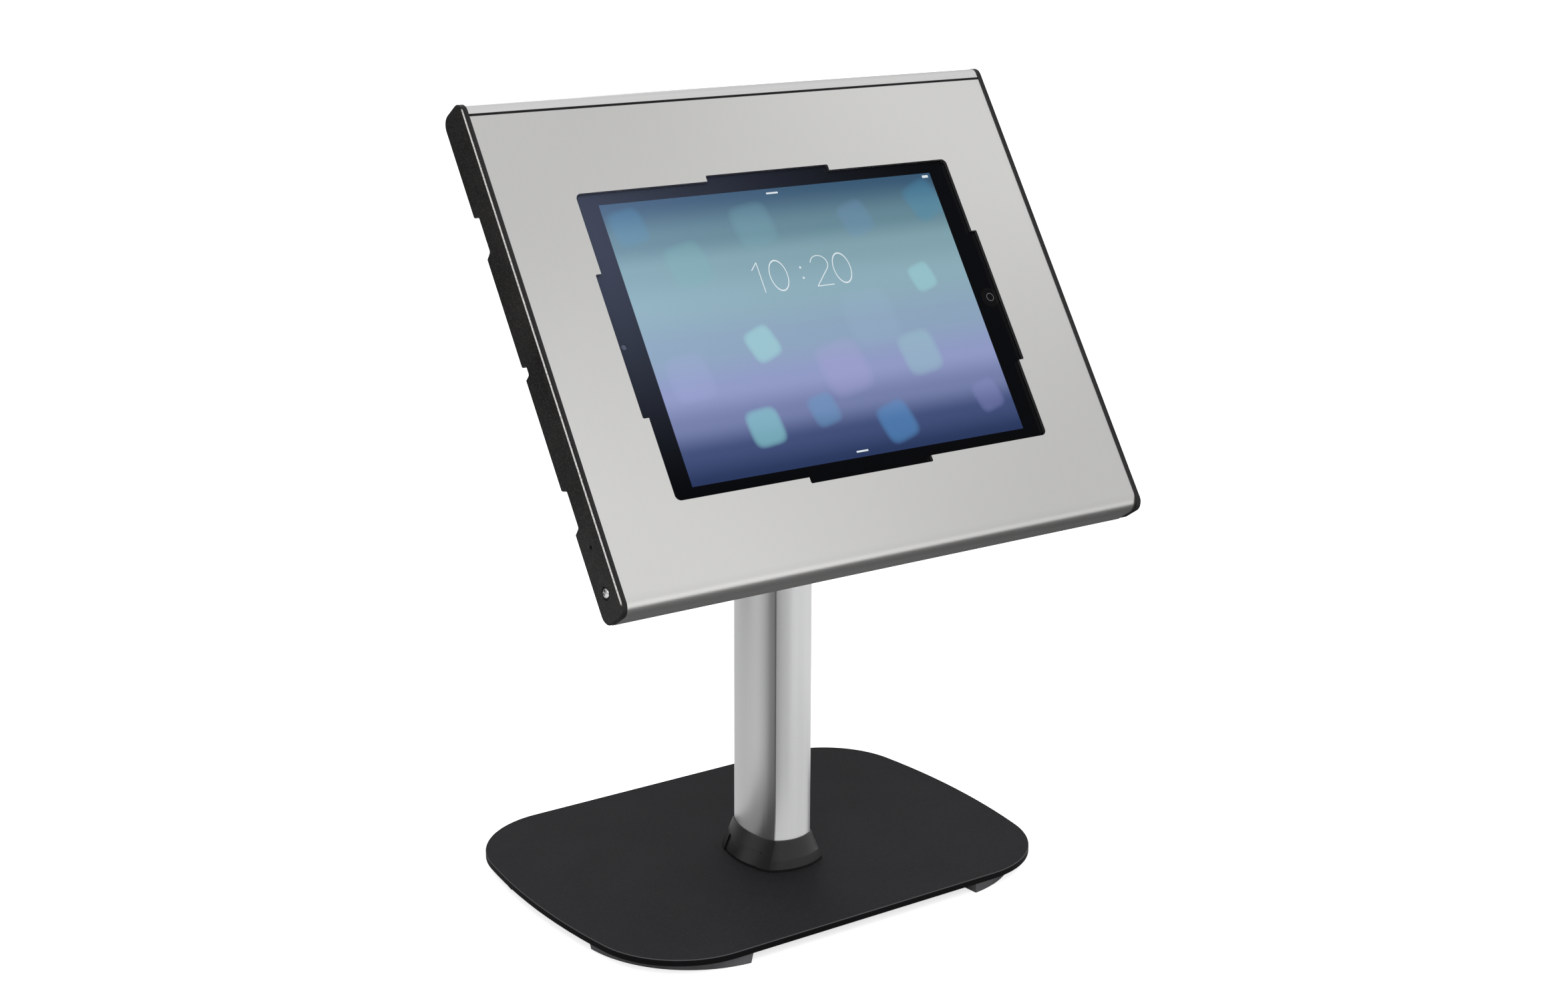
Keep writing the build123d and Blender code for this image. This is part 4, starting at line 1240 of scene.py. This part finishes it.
@dataclass(frozen=True)
class Card:
    """A flat card centred on its place. Only reflections show it, and only the side that its aim faces."""

    name: str
    place: Point
    aim: Point
    size: Span
    level: float

    def build(self) -> None:
        """Sets the card up."""
        shape = bmesh.new()
        made = bmesh.ops.create_grid(shape, x_segments=1, y_segments=1, size=0.5)["verts"]
        bmesh.ops.scale(shape, vec=(*self.size, 1.0), verts=made)
        turn = Vector(self.aim).to_track_quat("Z", "Y").to_matrix().to_4x4()
        bmesh.ops.transform(shape, matrix=Matrix.Translation(self.place) @ turn, verts=made)
        card = set_out(self.name, mesh_of(self.name, shape))
        card.data.materials.append(self.material())
        card.visible_camera = False
        card.visible_diffuse = False
        card.visible_shadow = False
        card.visible_transmission = False

    def material(self) -> bpy.types.Material:
        """A glowing front and a clear back.

        Returns:
            The material.
        """
        material = bpy.data.materials.new(self.name)
        nodes = Nodes(material)
        glow = nodes.add("ShaderNodeEmission", Strength=self.level).outputs["Emission"]
        clear = nodes.add("ShaderNodeBsdfTransparent").outputs["BSDF"]
        behind = nodes.add("ShaderNodeNewGeometry").outputs["Backfacing"]
        blend = nodes.chain("ShaderNodeMixShader", behind, glow, clear)
        nodes.add("ShaderNodeOutputMaterial", Surface=blend.outputs["Shader"])
        return material


@dataclass(frozen=True)
class Lamp:
    """A soft square lamp aimed at the object, with its side in metres and its power in watts."""

    name: str
    place: Point
    size: float
    power: float
    target: Point = (0.0, 0.0, 0.2)

    def build(self) -> None:
        """Hangs the lamp."""
        data = bpy.data.lights.new(self.name, "AREA")
        data.size = self.size
        data.energy = self.power
        aim = Vector(self.target) - Vector(self.place)
        turn = aim.to_track_quat("-Z", "Y").to_matrix().to_4x4()
        set_out(self.name, data).matrix_world = Matrix.Translation(self.place) @ turn


@dataclass
class Studio:
    """A white studio: pale floor, soft lamps, grey cards and the camera."""

    floor_reach: float = 14.0
    floor_facets: int = 96
    floor_grey: float = 0.82
    floor_spread: Span = (0.4, 3.0)
    floor_seen: Span = (0.72, 1.0)
    floor_gloss: float = 0.18
    sky_from: Point = (0.35, -0.6, 0.72)
    sky_spread: Span = (-0.9, 1.0)
    sky_levels: Span = (0.55, 1.0)
    sky_grey: float = 0.8
    eye: Point = (-0.6774, -0.988, 0.5485)
    eye_tilt: float = 74.23
    eye_azimuth: float = -34.793
    eye_roll: float = 0.248
    lens: float = 55.03
    sensor: float = 36.0
    near: float = 0.01
    upright_reach: float = 0.11
    upright_height: float = 0.17
    # Where each upright card starts and ends, in degrees from -x toward -y, and its brightness
    uprights: tuple[tuple[float, float, float], ...] = (
        (-36.0, -20.0, 0.82),
        (-20.0, -4.0, 0.68),
        (-4.0, 64.0, 0.12),
        (64.0, 98.0, 0.68),
    )
    cards: tuple[Card, ...] = (
        Card("card_plate", (-0.487, 0.414, 0.14), (0.549, -0.79, 0.272), (0.75, 0.85), 0.1),
        Card("card_behind", (-0.14, 0.3, 0.016), UP, (0.5, 0.52), 0.7),
        Card("card_before", (0.085, -0.12, 0.016), UP, (0.25, 0.19), 0.85),
        Card("card_beside", (-0.11, 0.021, 0.016), UP, (0.18, 0.038), 0.3),
        Card("card_under", (0.03, -0.105, 0.168), UP, (0.42, 0.11), 0.1),
    )
    lamps: tuple[Lamp, ...] = (
        Lamp("key_lamp", (-1.1, -1.7, 2.0), 1.5, 24.0),
        Lamp("fill_lamp", (2.2, 0.5, 1.0), 1.4, 8.0),
        Lamp("back_lamp", (0.4, 1.7, 1.6), 1.2, 8.0),
    )

    def build(self) -> None:
        """Sets the studio up."""
        self.world()
        self.floor()
        for number, (start, end, level) in enumerate(self.uprights):
            self.upright(f"card_column_{number}", start, end, level).build()
        for item in (*self.cards, *self.lamps):
            item.build()
        self.camera()
        bpy.context.scene.view_settings.view_transform = "Standard"

    def world(self) -> None:
        """White for what looks at the background, and soft light from above and in front for the rest."""
        world = bpy.data.worlds.new("studio_world")
        nodes = Nodes(world)
        way = nodes.add("ShaderNodeTexCoord").outputs["Generated"]
        facing = nodes.vector_math("DOT_PRODUCT", way, self.sky_from).outputs["Value"]
        level = nodes.fit(facing, self.sky_spread, self.sky_levels)
        light = nodes.add("ShaderNodeBackground", Color=(*grey(self.sky_grey), 1.0), Strength=level)
        white = nodes.add("ShaderNodeBackground", Color=(1.0, 1.0, 1.0, 1.0))
        direct = nodes.add("ShaderNodeLightPath").outputs["Is Camera Ray"]
        backgrounds = (node.outputs["Background"] for node in (light, white))
        blend = nodes.chain("ShaderNodeMixShader", direct, *backgrounds)
        nodes.add("ShaderNodeOutputWorld", Surface=blend.outputs["Shader"])
        bpy.context.scene.world = world

    def floor(self) -> None:
        """A wide pale floor that keeps the shadow, and shows white to the camera and to gloss."""
        shape = bmesh.new()
        bmesh.ops.create_circle(shape, cap_ends=True, segments=self.floor_facets, radius=self.floor_reach)
        floor = set_out("studio_floor", mesh_of("studio_floor", shape))
        material = bpy.data.materials.new("studio_floor")
        nodes = Nodes(material)
        matt = nodes.add("ShaderNodeBsdfDiffuse", Color=(*grey(self.floor_grey), 1.0)).outputs["BSDF"]
        spot = nodes.add("ShaderNodeTexCoord").outputs["Object"]
        far = nodes.vector_math("LENGTH", spot).outputs["Value"]
        lift = nodes.fit(far, self.floor_spread, self.floor_seen, smooth=True)
        path = nodes.add("ShaderNodeLightPath").outputs
        seen = nodes.math("MULTIPLY", path["Is Camera Ray"], lift)
        level = nodes.math("MULTIPLY_ADD", path["Is Glossy Ray"], self.floor_gloss, seen)
        glow = nodes.add("ShaderNodeEmission", Strength=level).outputs["Emission"]
        both = nodes.chain("ShaderNodeAddShader", matt, glow)
        nodes.add("ShaderNodeOutputMaterial", Surface=both.outputs["Shader"])
        floor.data.materials.append(material)

    def upright(self, name: str, start: float, end: float, level: float) -> Card:
        """An upright card beside the column, for the reflections on its faces.

        Args:
            name: The card's name.
            start: The azimuth where it starts, in degrees from -x toward -y.
            end: The azimuth where it ends.
            level: Its brightness.

        Returns:
            The card.
        """
        half = math.radians(end - start) / 2
        middle = math.radians(start + end) / 2
        away = Vector((-math.cos(middle), -math.sin(middle), 0.0))
        foot = Vector((*HEAD_PIVOT[:2], self.upright_height / 2))
        spot = foot + self.upright_reach * math.cos(half) * away
        width = 2 * self.upright_reach * math.sin(half)
        return Card(name, tuple(spot), tuple(-away), (width, self.upright_height), level)

    def camera(self) -> None:
        """The photograph's viewing angle."""
        data = bpy.data.cameras.new("studio_camera")
        data.lens = self.lens
        data.sensor_width = self.sensor
        data.clip_start = self.near
        camera = set_out("studio_camera", data)
        azimuth = Matrix.Rotation(math.radians(self.eye_azimuth), 4, "Z")
        tilt = Matrix.Rotation(math.radians(self.eye_tilt), 4, "X")
        roll = Matrix.Rotation(math.radians(self.eye_roll), 4, "Z")
        camera.matrix_world = Matrix.Translation(self.eye) @ azimuth @ tilt @ roll
        bpy.context.scene.camera = camera


def main() -> None:
    """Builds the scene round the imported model."""
    logging.basicConfig(level=logging.INFO, format="%(name)s: %(message)s")
    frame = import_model()
    nodes = frame["nodes"]
    Stand(nodes).build()
    TiltKnuckle(nodes).build()
    Housing(nodes).build()
    Tablet(nodes).build()
    Studio().build()
    bpy.context.view_layer.update()


if __name__ == "__main__":
    main()
